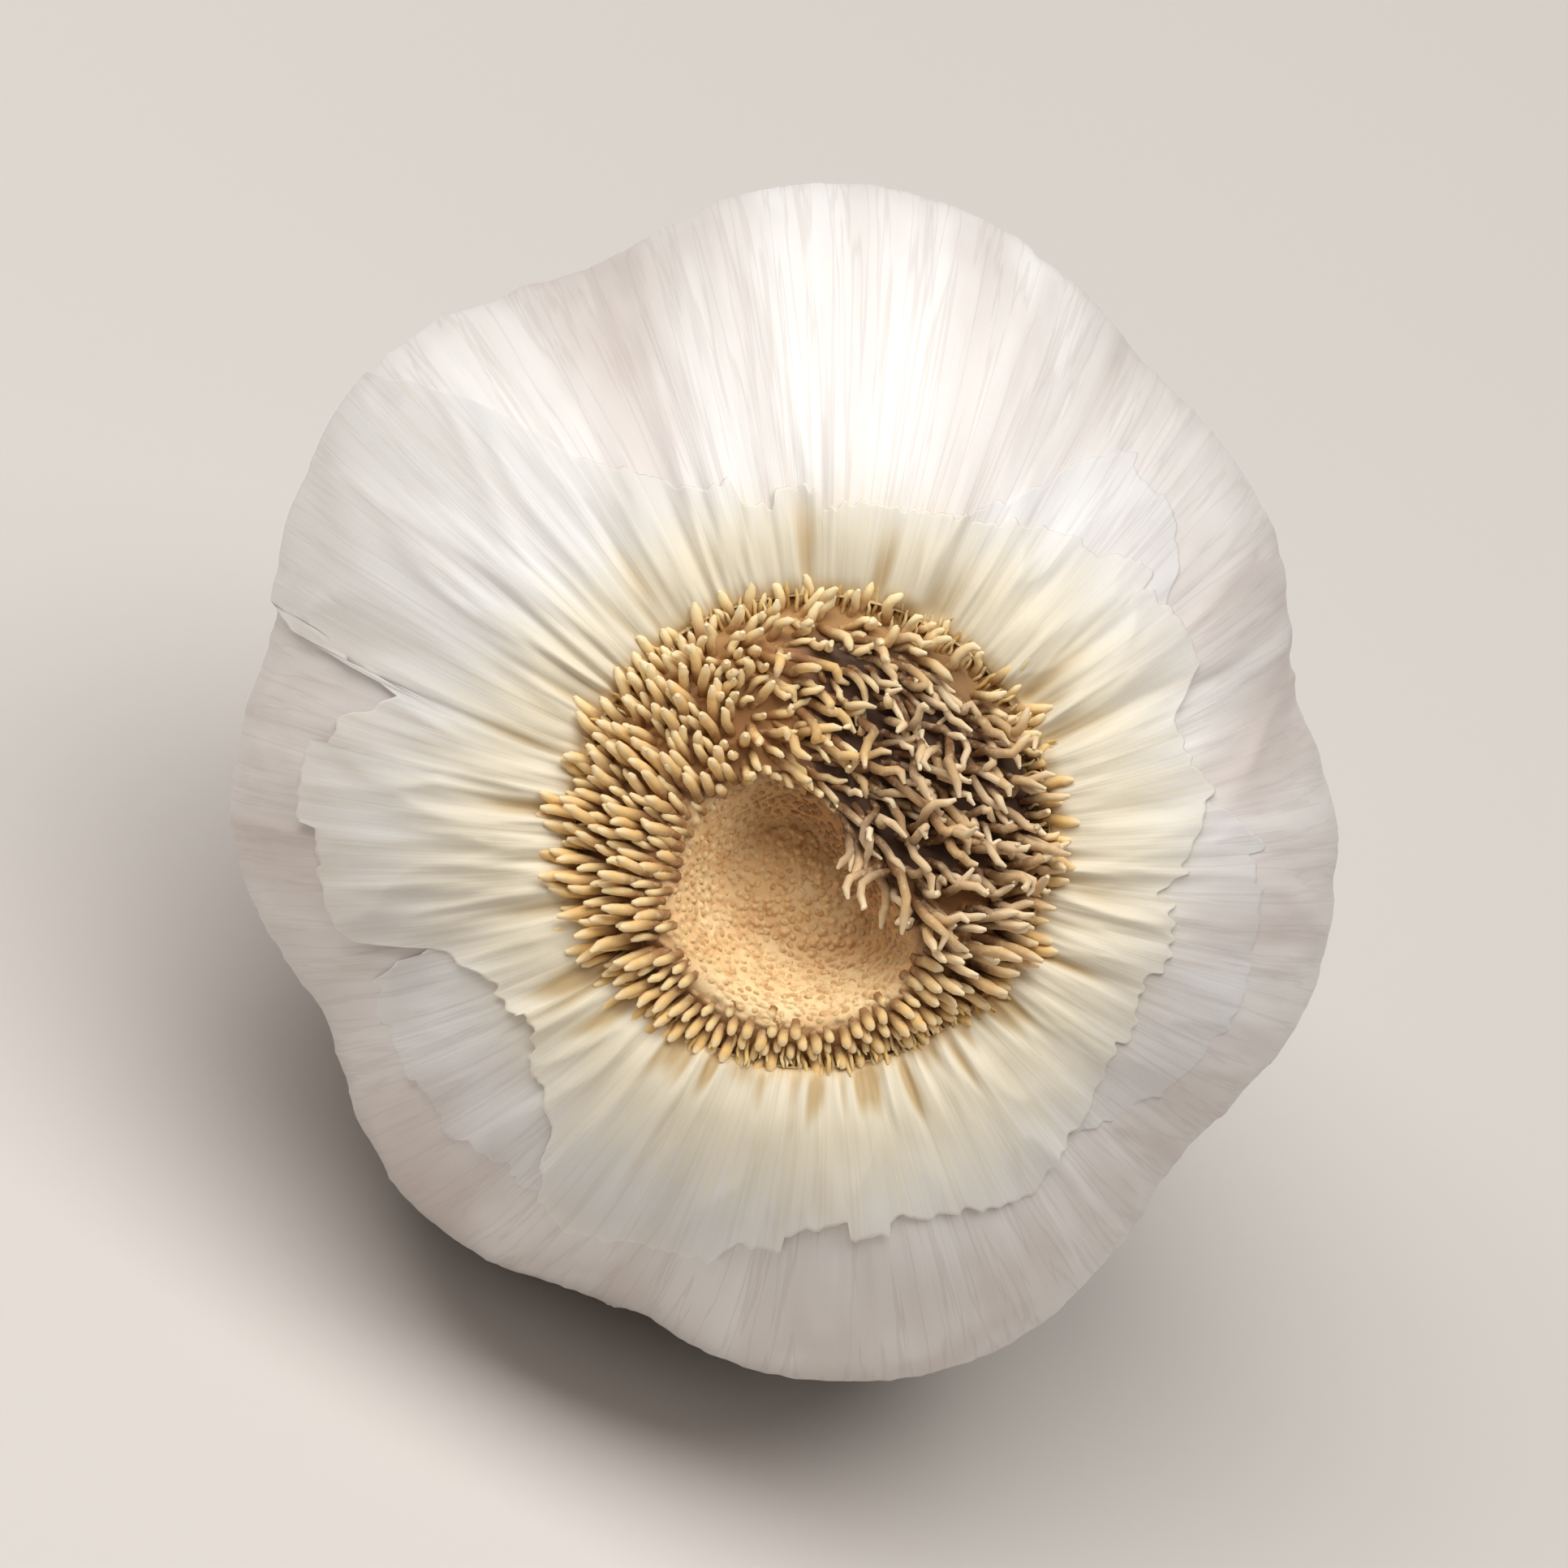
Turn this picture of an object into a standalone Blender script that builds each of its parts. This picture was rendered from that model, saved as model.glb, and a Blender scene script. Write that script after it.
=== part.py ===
"""A garlic bulb with its neck cut short and its roots trimmed, lying on its side.

The bulb is shaped root end up, as it is seen from above: X to the right, Y away, Z out of the root end.
It is then laid down on the table at Z = 0, where it settles on its cut neck and two of its cloves, with
the root end facing -Y and up. The origin is on the table, under the middle of its box. Lengths are in
metres.
"""

import math
import random

import bmesh
import bpy
from mathutils import Matrix, Vector

MM = 0.001

# The whole bulb
MEAN_RADIUS = 27.4 * MM
CLOVES = (  # direction in degrees, distance of its middle from the axis, its own radius
    (-20, 11.5 * MM, 15.7 * MM),
    (-76, 13.0 * MM, 16.1 * MM),
    (-126, 13.0 * MM, 14.0 * MM),
    (-178, 12.5 * MM, 14.0 * MM),
    (134, 13.0 * MM, 15.0 * MM),
    (80, 12.5 * MM, 16.5 * MM),
    (36, 12.5 * MM, 14.2 * MM),
)
SKIN_TAUTNESS = 36  # the higher, the deeper the skin follows the valleys between cloves
CLOVE_TWIST = math.radians(9)  # how far the cloves wind round the axis towards the neck

# Half of the bulb's outline: share of MEAN_RADIUS, height above the widest plane, strength of the cloves
OUTLINE = (
    (0.400, 15.4 * MM, 0.00),
    (0.510, 15.7 * MM, 0.12),
    (0.660, 14.1 * MM, 0.34),
    (0.800, 11.2 * MM, 0.62),
    (0.910, 7.0 * MM, 0.86),
    (0.980, 2.3 * MM, 0.98),
    (1.000, -2.2 * MM, 1.00),
    (0.975, -7.2 * MM, 1.00),
    (0.900, -12.4 * MM, 1.05),
    (0.770, -17.2 * MM, 1.10),
    (0.600, -21.4 * MM, 1.00),
    (0.430, -25.0 * MM, 0.75),
    (0.290, -28.2 * MM, 0.42),
    (0.208, -31.6 * MM, 0.20),
    (0.178, -35.4 * MM, 0.10),
    (0.182, -39.0 * MM, 0.06),
)
WIDEST_PLACE = 6 / (len(OUTLINE) - 1)  # where the outline is widest, with 0 and 1 as its ends
ROOT_SHIFT = Vector((1.3 * MM, -2.2 * MM))  # the root end sits a little off the middle
NECK_SHIFT = Vector((-1.4 * MM, 1.0 * MM))  # and the neck leans the other way

# Where things change along the outline, which runs from the root end, 0, to the end of the neck, 1
PLEATS_START = (0.0, 0.05)
PLEATS_END = (0.10, 0.30)
RIBS_START = (0.12, 0.30)
NECK_START = (0.72, 0.86)
ROOT_SHIFT_END = (0.0, 0.40)
NECK_SHIFT_START = (0.6, 1.0)
TWIST_START = (0.4, 1.0)
NORMAL_STEP = 0.002  # half the stretch of outline that a normal is taken over
HALVINGS = 30  # steps of a search along the outline

# The skin's relief: waves round the axis, each with its count, its height and its start
SIDES = 144
ROOT_PLEATS = ((31, 0.20 * MM, 0.4), (39, 0.12 * MM, 2.1), (22, 0.12 * MM, 4.0))
BODY_RIBS = ((17, 0.10 * MM, 1.0), (29, 0.07 * MM, 3.3))
NECK_PLEATS = ((9, 0.30 * MM, 0.7), (14, 0.18 * MM, 2.9))
TORN_LAYER = 0.35 * MM  # thickness of the outermost skin
TORN_LAYER_START = (0.0, 0.2)  # where it thickens on the way from the pocket to the tear
TORN_LIFT = 0.30 * MM  # how far its torn edge stands up
TORN_STEP = 0.006  # width of the step at the tear, as a share of the outline's length
TORN_EDGE = (  # direction in degrees, share of MEAN_RADIUS at which the outermost skin is torn off
    (-172, 0.80),
    (-163, 0.70),
    (-150, 0.62),
    (-138, 0.66),
    (-122, 0.76),
    (-108, 0.80),
    (-98, 0.79),
    (-94, 0.72),
    (-80, 0.73),
    (-66, 0.75),
    (-52, 0.79),
    (-38, 0.74),
    (-22, 0.64),
    (-6, 0.60),
    (10, 0.72),
    (24, 0.78),
    (40, 0.70),
    (58, 0.66),
    (76, 0.56),
    (96, 0.52),
    (112, 0.60),
    (130, 0.84),
    (146, 0.88),
    (158, 0.80),
    (168, 0.72),
    (176, 0.82),
)
RINGS_TO_TEAR = 7
RINGS_TO_NECK = 18

# The cut end of the neck, ring by ring: share of the neck's radius, depth under the cut
NECK_CUT = ((0.84, 0.0), (0.76, 0.6 * MM), (0.60, 0.6 * MM), (0.52, -0.2 * MM), (0.26, -0.3 * MM))

# The root plate and the pocket in the root end that it fills
POCKET_RADIUS = OUTLINE[0][0] * MEAN_RADIUS
POCKET_FLOOR = 12.0 * MM
FIT_GAP = 0.3 * MM
PLATE_CREST = 17.0 * MM
PLATE_EDGE = 15.3 * MM
PLATE_CREST_WIDTH = 3.0 * MM
BOWL_SHIFT = Vector((-0.9 * MM, -3.1 * MM))
BOWL_RADIUS = 6.3 * MM
BOWL_DEPTH = 3.0 * MM
BOWL_FLAT = 0.25  # share of the bowl that is flat
PLATE_SIDES = 40
PLATE_RINGS = 9

# The trimmed roots
ROOT_SEED = 7
ROOT_THROWS = 5000
ROOT_SPACING = 1.08 * MM
ROOT_EDGE = 9.9 * MM  # how far from the plate's middle they grow
ROOT_RADIUS = 0.36 * MM
ROOT_WIDTHS = (1.0, 0.95, 0.7)  # at the foot, half way and at the cut end
ROOT_SIDES = 3
ROOT_SUNK = 0.7 * MM
ROOT_LENGTH = (1.5 * MM, 3.4 * MM)  # on the short side, and on the long side
LONG_SIDE = math.radians(50)
LENGTH_SPREAD = (0.75, 1.1)
ROOT_SLOPE = (0.55, 1.1)  # outwards for each unit upwards, at the bowl and at the plate's edge
SLOPE_SPREAD = 0.2
ASIDE_SPREAD = 0.45
ROOT_BEND = 0.12  # as a share of the length

# How it lies
DOWN_SIDE = math.radians(-110)  # the side that it is laid down on, before it settles
DOWN_TILT = math.radians(36)  # how far the root end is turned up then
FLAT_DEPTH = 0.30 * MM  # how deep the flats are that it rests on
CUT_TOLERANCE = 1e-7

# Finishes: colour and roughness
SKIN_FINISH = ((0.80, 0.76, 0.70), 0.45)
ROOT_FINISH = ((0.55, 0.37, 0.17), 0.80)


def smooth(low, high, value):
    """0 below low, 1 above high, and an even curve between."""
    share = min(1.0, max(0.0, (value - low) / (high - low)))
    return share * share * (3 - 2 * share)


def turned(angle):
    return Vector((math.cos(angle), math.sin(angle)))


def clove_outline(angle):
    """How far the skin, drawn over the cloves, lies from the axis at the widest plane."""
    total = 0.0
    for degrees, distance, radius in CLOVES:
        off = angle - math.radians(degrees)
        beside = distance * math.sin(off)
        if abs(beside) >= radius:
            continue
        reach = distance * math.cos(off) + math.sqrt(radius**2 - beside**2)
        if reach > 0:
            total += (reach / MEAN_RADIUS) ** SKIN_TAUTNESS
    return MEAN_RADIUS * total ** (1 / SKIN_TAUTNESS)


def between(keys, place):
    """A smooth curve through evenly spaced keys, at place, which runs from 0 to 1."""
    place = min(1.0, max(0.0, place)) * (len(keys) - 1)
    first = min(int(place), len(keys) - 2)
    share = place - first
    before, here, there, after = (
        Vector(keys[min(len(keys) - 1, max(0, first + step))]) for step in (-1, 0, 1, 2)
    )
    return 0.5 * (
        2 * here
        + (there - before) * share
        + (2 * before - 5 * here + 4 * there - after) * share**2
        + (3 * here - before - 3 * there + after) * share**3
    )


def outline_at(place):
    """Radius, height, clove strength and outward normal of the bulb's half outline."""
    share, height, strength = between(OUTLINE, place)
    ahead = between(OUTLINE, place + NORMAL_STEP)
    behind = between(OUTLINE, place - NORMAL_STEP)
    along = Vector(((ahead.x - behind.x) * MEAN_RADIUS, ahead.y - behind.y)).normalized()
    return share * MEAN_RADIUS, height, strength, Vector((-along.y, along.x))


def waves(kinds, angle):
    return sum(size * math.sin(count * angle + start) for count, size, start in kinds)


def relief(angle, place):
    """Height of the skin's pleats and ribs over its smooth form."""
    at_root = smooth(*PLEATS_START, place) * (1 - smooth(*PLEATS_END, place))
    on_body = smooth(*RIBS_START, place)
    at_neck = smooth(*NECK_START, place)
    return (
        at_root * waves(ROOT_PLEATS, angle)
        + on_body * (1 - at_neck / 2) * waves(BODY_RIBS, angle)
        + at_neck * waves(NECK_PLEATS, angle)
    )


def axis_shift(place):
    """Where the bulb's axis runs at this place on the outline."""
    at_root = 1 - smooth(*ROOT_SHIFT_END, place)
    return ROOT_SHIFT * at_root + NECK_SHIFT * smooth(*NECK_SHIFT_START, place)


def skin_point(angle, place, raised=0.0):
    """A point of the skin: angle round the axis, and place from the root end, 0, to the neck's end, 1."""
    radius, height, strength, normal = outline_at(place)
    wound = angle + CLOVE_TWIST * smooth(*TWIST_START, place)
    out = strength * (clove_outline(wound) - MEAN_RADIUS) + relief(wound, place) + raised
    reach = radius + normal.x * out
    flat = axis_shift(place) + turned(angle) * reach
    return Vector((flat.x, flat.y, height + normal.y * out))


def torn_share(angle):
    """Share of MEAN_RADIUS at which the outermost skin ends, in this direction."""
    degrees = (math.degrees(angle) + 180) % 360 - 180
    (first, start), (last, end) = TORN_EDGE[0], TORN_EDGE[-1]
    keys = ((last - 360, end), *TORN_EDGE, (first + 360, start))
    for (low, here), (high, there) in zip(keys, keys[1:]):
        if degrees <= high:
            return here + (there - here) * (degrees - low) / (high - low)
    return end


def place_of_share(share):
    """The place on the root side of the outline where its radius is this share of MEAN_RADIUS."""
    low, high = 0.0, WIDEST_PLACE
    for _ in range(HALVINGS):
        middle = (low + high) / 2
        if between(OUTLINE, middle).x < share:
            low = middle
        else:
            high = middle
    return low


def mesh_of_rings(rings):
    """A closed mesh from rings of points, each end filled with a fan to its middle."""
    mesh = bmesh.new()
    made = [[mesh.verts.new(point) for point in ring] for ring in rings]
    for ring, following in zip(made, made[1:]):
        for side, vertex in enumerate(ring):
            turn = (side + 1) % len(ring)
            mesh.faces.new((vertex, following[side], following[turn], ring[turn]))
    for ring in (made[0], made[-1]):
        middle = mesh.verts.new(sum((v.co for v in ring), Vector()) / len(ring))
        for side, vertex in enumerate(ring):
            mesh.faces.new((vertex, ring[(side + 1) % len(ring)], middle))
    bmesh.ops.recalc_face_normals(mesh, faces=mesh.faces)
    return mesh


def material(name, colour, roughness):
    made = bpy.data.materials.new(name)
    made.use_nodes = True
    shader = made.node_tree.nodes["Principled BSDF"]
    shader.inputs["Base Color"].default_value = (*colour, 1)
    shader.inputs["Roughness"].default_value = roughness
    made.diffuse_color = (*colour, 1)
    return made


def add_object(name, mesh, finish, carrier):
    data = bpy.data.meshes.new(name)
    mesh.to_mesh(data)
    mesh.free()
    data.materials.append(finish)
    data.shade_smooth()
    made = bpy.data.objects.new(name, data)
    bpy.context.scene.collection.objects.link(made)
    made.parent = carrier
    return made


def bulb_mesh():
    """The skin from the pocket's floor over the root end, the cloves and the neck to the cut."""
    angles = [2 * math.pi * side / SIDES for side in range(SIDES)]
    tears = [place_of_share(torn_share(angle)) for angle in angles]
    rings = [
        [(*(ROOT_SHIFT + turned(angle) * POCKET_RADIUS), POCKET_FLOOR) for angle in angles]
    ]
    for step in range(RINGS_TO_TEAR + 1):
        share = step / RINGS_TO_TEAR
        raised = TORN_LAYER * smooth(*TORN_LAYER_START, share) + TORN_LIFT * share**3
        rings.append(
            [skin_point(angle, tear * share, raised) for angle, tear in zip(angles, tears)]
        )
    for step in range(RINGS_TO_NECK + 1):
        share = step / RINGS_TO_NECK
        starts = [tear + TORN_STEP for tear in tears]
        rings.append(
            [
                skin_point(angle, start + (1 - start) * share)
                for angle, start in zip(angles, starts)
            ]
        )
    edge = rings[-1]
    middle = sum(edge, Vector()) / SIDES
    for share, depth in NECK_CUT:
        rings.append([middle.lerp(p, share) + Vector((0, 0, depth)) for p in edge])
    return mesh_of_rings(rings)


def plate_height(spot):
    """Height of the root plate's face over a spot, which is measured from the plate's middle."""
    outer = smooth(0, PLATE_CREST_WIDTH, POCKET_RADIUS - FIT_GAP - spot.length)
    crest = PLATE_EDGE + (PLATE_CREST - PLATE_EDGE) * outer
    from_bowl = (spot - BOWL_SHIFT).length
    return crest - BOWL_DEPTH * (1 - smooth(BOWL_FLAT * BOWL_RADIUS, BOWL_RADIUS, from_bowl))


def plate_mesh():
    """A thick disc with the bowl of the bare root plate in its face."""
    edge = POCKET_RADIUS - FIT_GAP
    turns = [turned(2 * math.pi * side / PLATE_SIDES) for side in range(PLATE_SIDES)]
    rings = [[(*(ROOT_SHIFT + turn * edge), POCKET_FLOOR + FIT_GAP) for turn in turns]]
    for step in range(PLATE_RINGS):
        share = 1 - step / PLATE_RINGS
        spots = [BOWL_SHIFT * (1 - share) + turn * edge * share for turn in turns]
        rings.append([(*(ROOT_SHIFT + spot), plate_height(spot)) for spot in spots])
    return mesh_of_rings([[Vector(point) for point in ring] for ring in rings])


def root_spots(chance):
    """Spots on the plate's crest round the bowl, each well apart from the others."""
    spots = []
    for _ in range(ROOT_THROWS):
        spot = Vector((chance.uniform(-1, 1), chance.uniform(-1, 1))) * ROOT_EDGE
        if spot.length > ROOT_EDGE or (spot - BOWL_SHIFT).length < BOWL_RADIUS:
            continue
        if all((spot - other).length > ROOT_SPACING for other in spots):
            spots.append(spot)
    return spots


def root_line(spot, chance):
    """Three points along a trimmed root, which starts in the plate and bends outwards."""
    away = (spot - BOWL_SHIFT).normalized()
    from_bowl = smooth(BOWL_RADIUS, ROOT_EDGE + BOWL_SHIFT.length, (spot - BOWL_SHIFT).length)
    on_long_side = (1 + math.cos(math.atan2(away.y, away.x) - LONG_SIDE)) / 2
    length = ROOT_LENGTH[0] + (ROOT_LENGTH[1] - ROOT_LENGTH[0]) * on_long_side
    length *= chance.uniform(*LENGTH_SPREAD)
    slope = ROOT_SLOPE[0] + (ROOT_SLOPE[1] - ROOT_SLOPE[0]) * from_bowl
    slope += chance.uniform(-SLOPE_SPREAD, SLOPE_SPREAD)
    aside = Vector((-away.y, away.x)) * chance.uniform(-ASIDE_SPREAD, ASIDE_SPREAD)
    direction = Vector((*(away * slope + aside), 1)).normalized()
    base = Vector((*(ROOT_SHIFT + spot), plate_height(spot)))
    bend = Vector((chance.uniform(-1, 1), chance.uniform(-1, 1), 0)) * ROOT_BEND * length
    return (
        base - direction * ROOT_SUNK,
        base + direction * length * 0.5 + bend,
        base + direction * length,
    )


def root_mesh(line):
    """A closed spike along a line of points."""
    direction = (line[-1] - line[0]).normalized()
    across = direction.orthogonal().normalized()
    turns = [
        Matrix.Rotation(2 * math.pi * side / ROOT_SIDES, 3, direction) @ across
        for side in range(ROOT_SIDES)
    ]
    mesh = bmesh.new()
    rings = [
        [mesh.verts.new(point + turn * ROOT_RADIUS * width) for turn in turns]
        for point, width in zip(line, ROOT_WIDTHS)
    ]
    for ring, following in zip(rings, rings[1:]):
        for side in range(ROOT_SIDES):
            turn = (side + 1) % ROOT_SIDES
            mesh.faces.new((ring[side], ring[turn], following[turn], following[side]))
    mesh.faces.new(rings[0])
    mesh.faces.new(rings[-1])
    bmesh.ops.recalc_face_normals(mesh, faces=mesh.faces)
    return mesh


def fuse(target, pieces):
    """Joins the pieces to the target with one Boolean, then removes them."""
    together = bpy.data.collections.new("roots")
    bpy.context.scene.collection.children.link(together)
    for piece in pieces:
        bpy.context.scene.collection.objects.unlink(piece)
        together.objects.link(piece)
    union = target.modifiers.new("fuse", "BOOLEAN")
    union.operation = "UNION"
    union.operand_type = "COLLECTION"
    union.collection = together
    bpy.context.view_layer.update()
    seen = target.evaluated_get(bpy.context.evaluated_depsgraph_get())
    fused = bpy.data.meshes.new_from_object(seen)
    target.modifiers.clear()
    target.data = fused
    for piece in pieces:
        bpy.data.objects.remove(piece)
    bpy.data.collections.remove(together)


def middle_of_volume(mesh):
    """The centre of what a closed mesh encloses."""
    total = 0.0
    moment = Vector()
    for triangle in mesh.calc_loop_triangles():
        a, b, c = (loop.vert.co for loop in triangle)
        volume = a.dot(b.cross(c))
        total += volume
        moment += volume * (a + b + c) / 4
    return moment / total


def settled(bulb):
    """Which way is down for the bulb once it has rolled to rest: the normal of a wall of its hull.

    It tips on to the wall under its weight, and again, until the wall under its weight is the one it
    already lies on.
    """
    mesh = bmesh.new()
    mesh.from_mesh(bulb.data)
    weight = middle_of_volume(mesh)
    hull = bmesh.ops.convex_hull(mesh, input=mesh.verts)
    walls = []
    for face in hull["geom"]:
        if isinstance(face, bmesh.types.BMFace):
            distance = face.normal.dot(face.verts[0].co - weight)
            walls.append((face.normal * math.copysign(1, distance), abs(distance)))
    mesh.free()
    down = Vector((*(turned(DOWN_SIDE) * math.cos(DOWN_TILT)), -math.sin(DOWN_TILT)))
    resting = None
    while True:
        facing = [wall for wall in walls if wall[0].dot(down) > 0]
        under = min(facing, key=lambda wall: wall[1] / wall[0].dot(down))
        if under is resting:
            return down
        resting = under
        down = under[0]


def lay_down(carrier, bulb, plate):
    """Lays the bulb on its settled side, with its flats' depth below the table."""
    down = settled(bulb)
    lean = Matrix.Rotation(math.acos(-down.z), 4, "X")
    roll = Matrix.Rotation(-math.pi / 2 - math.atan2(down.y, down.x), 4, "Z")
    pose = lean @ roll
    points = [pose @ v.co for piece in (bulb, plate) for v in piece.data.vertices]
    low = [min(axis) for axis in zip(*points)]
    high = [max(axis) for axis in zip(*points)]
    to_middle = (-(low[0] + high[0]) / 2, -(low[1] + high[1]) / 2, -low[2] - FLAT_DEPTH)
    carrier.matrix_world = Matrix.Translation(to_middle) @ pose


def trim_flats(carrier, bulb):
    """Cuts off what lies below the table, which leaves the small flats that the bulb rests on."""
    table = carrier.matrix_world.inverted()
    mesh = bmesh.new()
    mesh.from_mesh(bulb.data)
    cut = bmesh.ops.bisect_plane(
        mesh,
        geom=[*mesh.verts, *mesh.edges, *mesh.faces],
        dist=CUT_TOLERANCE,
        plane_co=table @ Vector(),
        plane_no=table.to_3x3() @ Vector((0, 0, -1)),
        clear_outer=True,
    )
    edges = [e for e in cut["geom_cut"] if isinstance(e, bmesh.types.BMEdge)]
    bmesh.ops.holes_fill(mesh, edges=edges)
    bmesh.ops.recalc_face_normals(mesh, faces=mesh.faces)
    mesh.to_mesh(bulb.data)
    mesh.free()


def build():
    for obj in list(bpy.data.objects):
        bpy.data.objects.remove(obj)
    skin = material("dry garlic skin", *SKIN_FINISH)
    root = material("dry root", *ROOT_FINISH)
    carrier = bpy.data.objects.new("garlic", None)
    bpy.context.scene.collection.objects.link(carrier)
    bulb = add_object("bulb", bulb_mesh(), skin, carrier)
    plate = add_object("root_plate", plate_mesh(), root, carrier)
    chance = random.Random(ROOT_SEED)
    spots = root_spots(chance)
    stubs = [
        add_object(f"root_{n}", root_mesh(root_line(spot, chance)), root, None)
        for n, spot in enumerate(spots)
    ]
    fuse(plate, stubs)
    lay_down(carrier, bulb, plate)
    trim_flats(carrier, bulb)


build()
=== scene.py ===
"""A dry garlic bulb lying on its side, seen on its root end: its skins, cut neck and trimmed roots.

Each piece is made root end up: X to the right and Y up as the root end is seen, Z out of the root end,
Z = 0 at the widest plane. It is then laid down as the solid bulb lies. Lengths are in metres.
"""

import math

import bpy
import numpy as np
from mathutils import Matrix, Vector


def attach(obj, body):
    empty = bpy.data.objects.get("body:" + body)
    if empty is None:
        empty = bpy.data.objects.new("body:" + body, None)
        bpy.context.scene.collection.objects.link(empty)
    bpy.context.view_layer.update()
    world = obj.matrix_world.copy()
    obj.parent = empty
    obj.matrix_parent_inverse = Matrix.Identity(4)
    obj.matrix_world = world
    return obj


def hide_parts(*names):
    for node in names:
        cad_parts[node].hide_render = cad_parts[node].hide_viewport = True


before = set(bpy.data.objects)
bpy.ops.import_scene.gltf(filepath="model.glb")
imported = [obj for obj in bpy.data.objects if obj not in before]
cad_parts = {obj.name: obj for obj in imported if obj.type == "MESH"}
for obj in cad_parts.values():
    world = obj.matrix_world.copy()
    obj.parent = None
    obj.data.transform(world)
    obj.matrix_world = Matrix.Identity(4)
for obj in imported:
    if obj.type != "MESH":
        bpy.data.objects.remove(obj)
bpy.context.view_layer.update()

MM = 0.001
PLANT_IOR = 1.5  # dry plant fibre
SKIN_IOR = 1.47  # thinner papery skin

# How the solid bulb lies
LEAN = math.radians(54.414)
ROLL = math.radians(26.511)
PLACE = Vector((0.0956 * MM, -5.9189 * MM, 26.4512 * MM))
LAID_DOWN = Matrix.Translation(PLACE) @ Matrix.Rotation(LEAN, 4, "X") @ Matrix.Rotation(ROLL, 4, "Z")

# The bulb's form, as in the solid bulb
MEAN_RADIUS = 27.4 * MM
CLOVES = (  # direction in degrees, distance of its middle from the axis, its own radius
    (-20, 11.5 * MM, 15.7 * MM), (-76, 13.0 * MM, 16.1 * MM), (-126, 13.0 * MM, 14.0 * MM),
    (-178, 12.5 * MM, 14.0 * MM), (134, 13.0 * MM, 15.0 * MM), (80, 12.5 * MM, 16.5 * MM),
    (36, 12.5 * MM, 14.2 * MM),
)
SKIN_TAUTNESS = 36  # more of it draws the skin closer to the cloves
CLOVE_TWIST = math.radians(9)  # from the roots to the neck
OUTLINE = (  # share of MEAN_RADIUS, height above the widest plane, strength of the cloves
    (0.400, 15.4 * MM, 0.00), (0.510, 15.7 * MM, 0.12), (0.660, 14.1 * MM, 0.34),
    (0.800, 11.2 * MM, 0.62), (0.910, 7.0 * MM, 0.86), (0.980, 2.3 * MM, 0.98),
    (1.000, -2.2 * MM, 1.00), (0.975, -7.2 * MM, 1.00), (0.900, -12.4 * MM, 1.05),
    (0.770, -17.2 * MM, 1.10), (0.600, -21.4 * MM, 1.00), (0.430, -25.0 * MM, 0.75),
    (0.290, -28.2 * MM, 0.42), (0.208, -31.6 * MM, 0.20), (0.178, -35.4 * MM, 0.10),
    (0.182, -39.0 * MM, 0.06),
)
WIDEST_PLACE = 6 / (len(OUTLINE) - 1)  # the outline's seventh key
FINE = 400  # points at which the outline is measured
GROOVES = (  # direction in degrees between two cloves, how much deeper the skin sinks past the widest place
    (-48, 0.9 * MM), (-101, 1.3 * MM), (-152, 1.0 * MM), (158, 1.3 * MM), (107, 0.9 * MM),
    (58, 1.1 * MM), (8, 1.4 * MM),
)
GROOVE_WIDTH = 0.085  # radians
ROOT_SHIFT = np.array((1.3 * MM, -2.2 * MM))  # how far the root end lies off the axis
NECK_SHIFT = np.array((-1.4 * MM, 1.0 * MM))
SKIN_THICKNESS = 0.12 * MM  # drawn a little thick, so that a torn edge shows
EDGE_STEP = 0.0012  # how far a thin skin's edge bulges, in places from root to neck

# Where the outermost skin is torn off: direction in degrees, share of MEAN_RADIUS.
# Past 1, the rest is how far it reaches past the widest place.
TORN_EDGE = (
    (-176, 0.81), (-166, 0.80), (-163, 0.79), (-160.5, 0.645), (-154, 0.58), (-146, 0.57),
    (-135.5, 0.61), (-129, 0.66), (-124, 0.76), (-119, 0.80), (-109, 0.765), (-101, 0.757),
    (-98.5, 0.70), (-83.5, 0.67), (-68, 0.71), (-58.6, 0.75), (-48, 0.71), (-36, 0.66), (-26, 0.62),
    (-11, 0.58), (-6, 0.66), (2, 0.70), (8, 0.66), (15, 0.64), (21, 0.72), (30, 0.70), (45, 0.64),
    (60, 0.57), (76, 0.54), (96, 0.52), (110, 0.55), (122, 0.66), (132, 0.88), (140, 1.05),
    (157, 1.08), (162, 0.96), (163.6, 0.73), (166, 0.76), (170, 0.80),
)
# And the skin under it, which shows where it reaches further
SECOND_EDGE = (
    (-176, 0.62), (-164, 0.62), (-158, 0.78), (-152, 0.85), (-138, 0.845), (-128, 0.83),
    (-120, 0.77), (-112, 0.66), (-60, 0.60), (-48, 0.76), (-34, 0.82), (-18, 0.80), (-4, 0.78),
    (6, 0.62), (24, 0.62), (34, 0.80), (46, 0.82), (58, 0.62), (70, 0.50), (168, 0.50),
)
# How loose the torn skins' edges are: direction in degrees, 0 to 1
LOOSE_SIDES = (
    (-176, 0.9), (-160, 1.0), (-140, 0.7), (-118, 0.5), (-96, 0.8), (-70, 0.7), (-48, 0.3),
    (-20, 0.1), (12, 0.5), (30, 0.4), (50, 0.1), (130, 0.1), (150, 0.4), (163, 1.0), (170, 0.7),
)

# Hues of a skin: its white, its grey cast, its cream, its painted fold shade, and its veins, a hue that
# also paints shade in its valleys and creases
WHITE_HUES = ("#F3F0EC", "#DAD0CA", "#EBDDC3", "#C8AD7E", "#B7A79D")
CREAM_HUES = ("#EFEBE5", "#DDD4CA", "#EDDFC3", "#BB985F", "#C8B69A")


def smooth(low, high, value):
    """0 below low, 1 above high, and an even curve between."""
    share = np.clip((value - low) / (high - low), 0, 1)
    return share * share * (3 - 2 * share)


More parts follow.
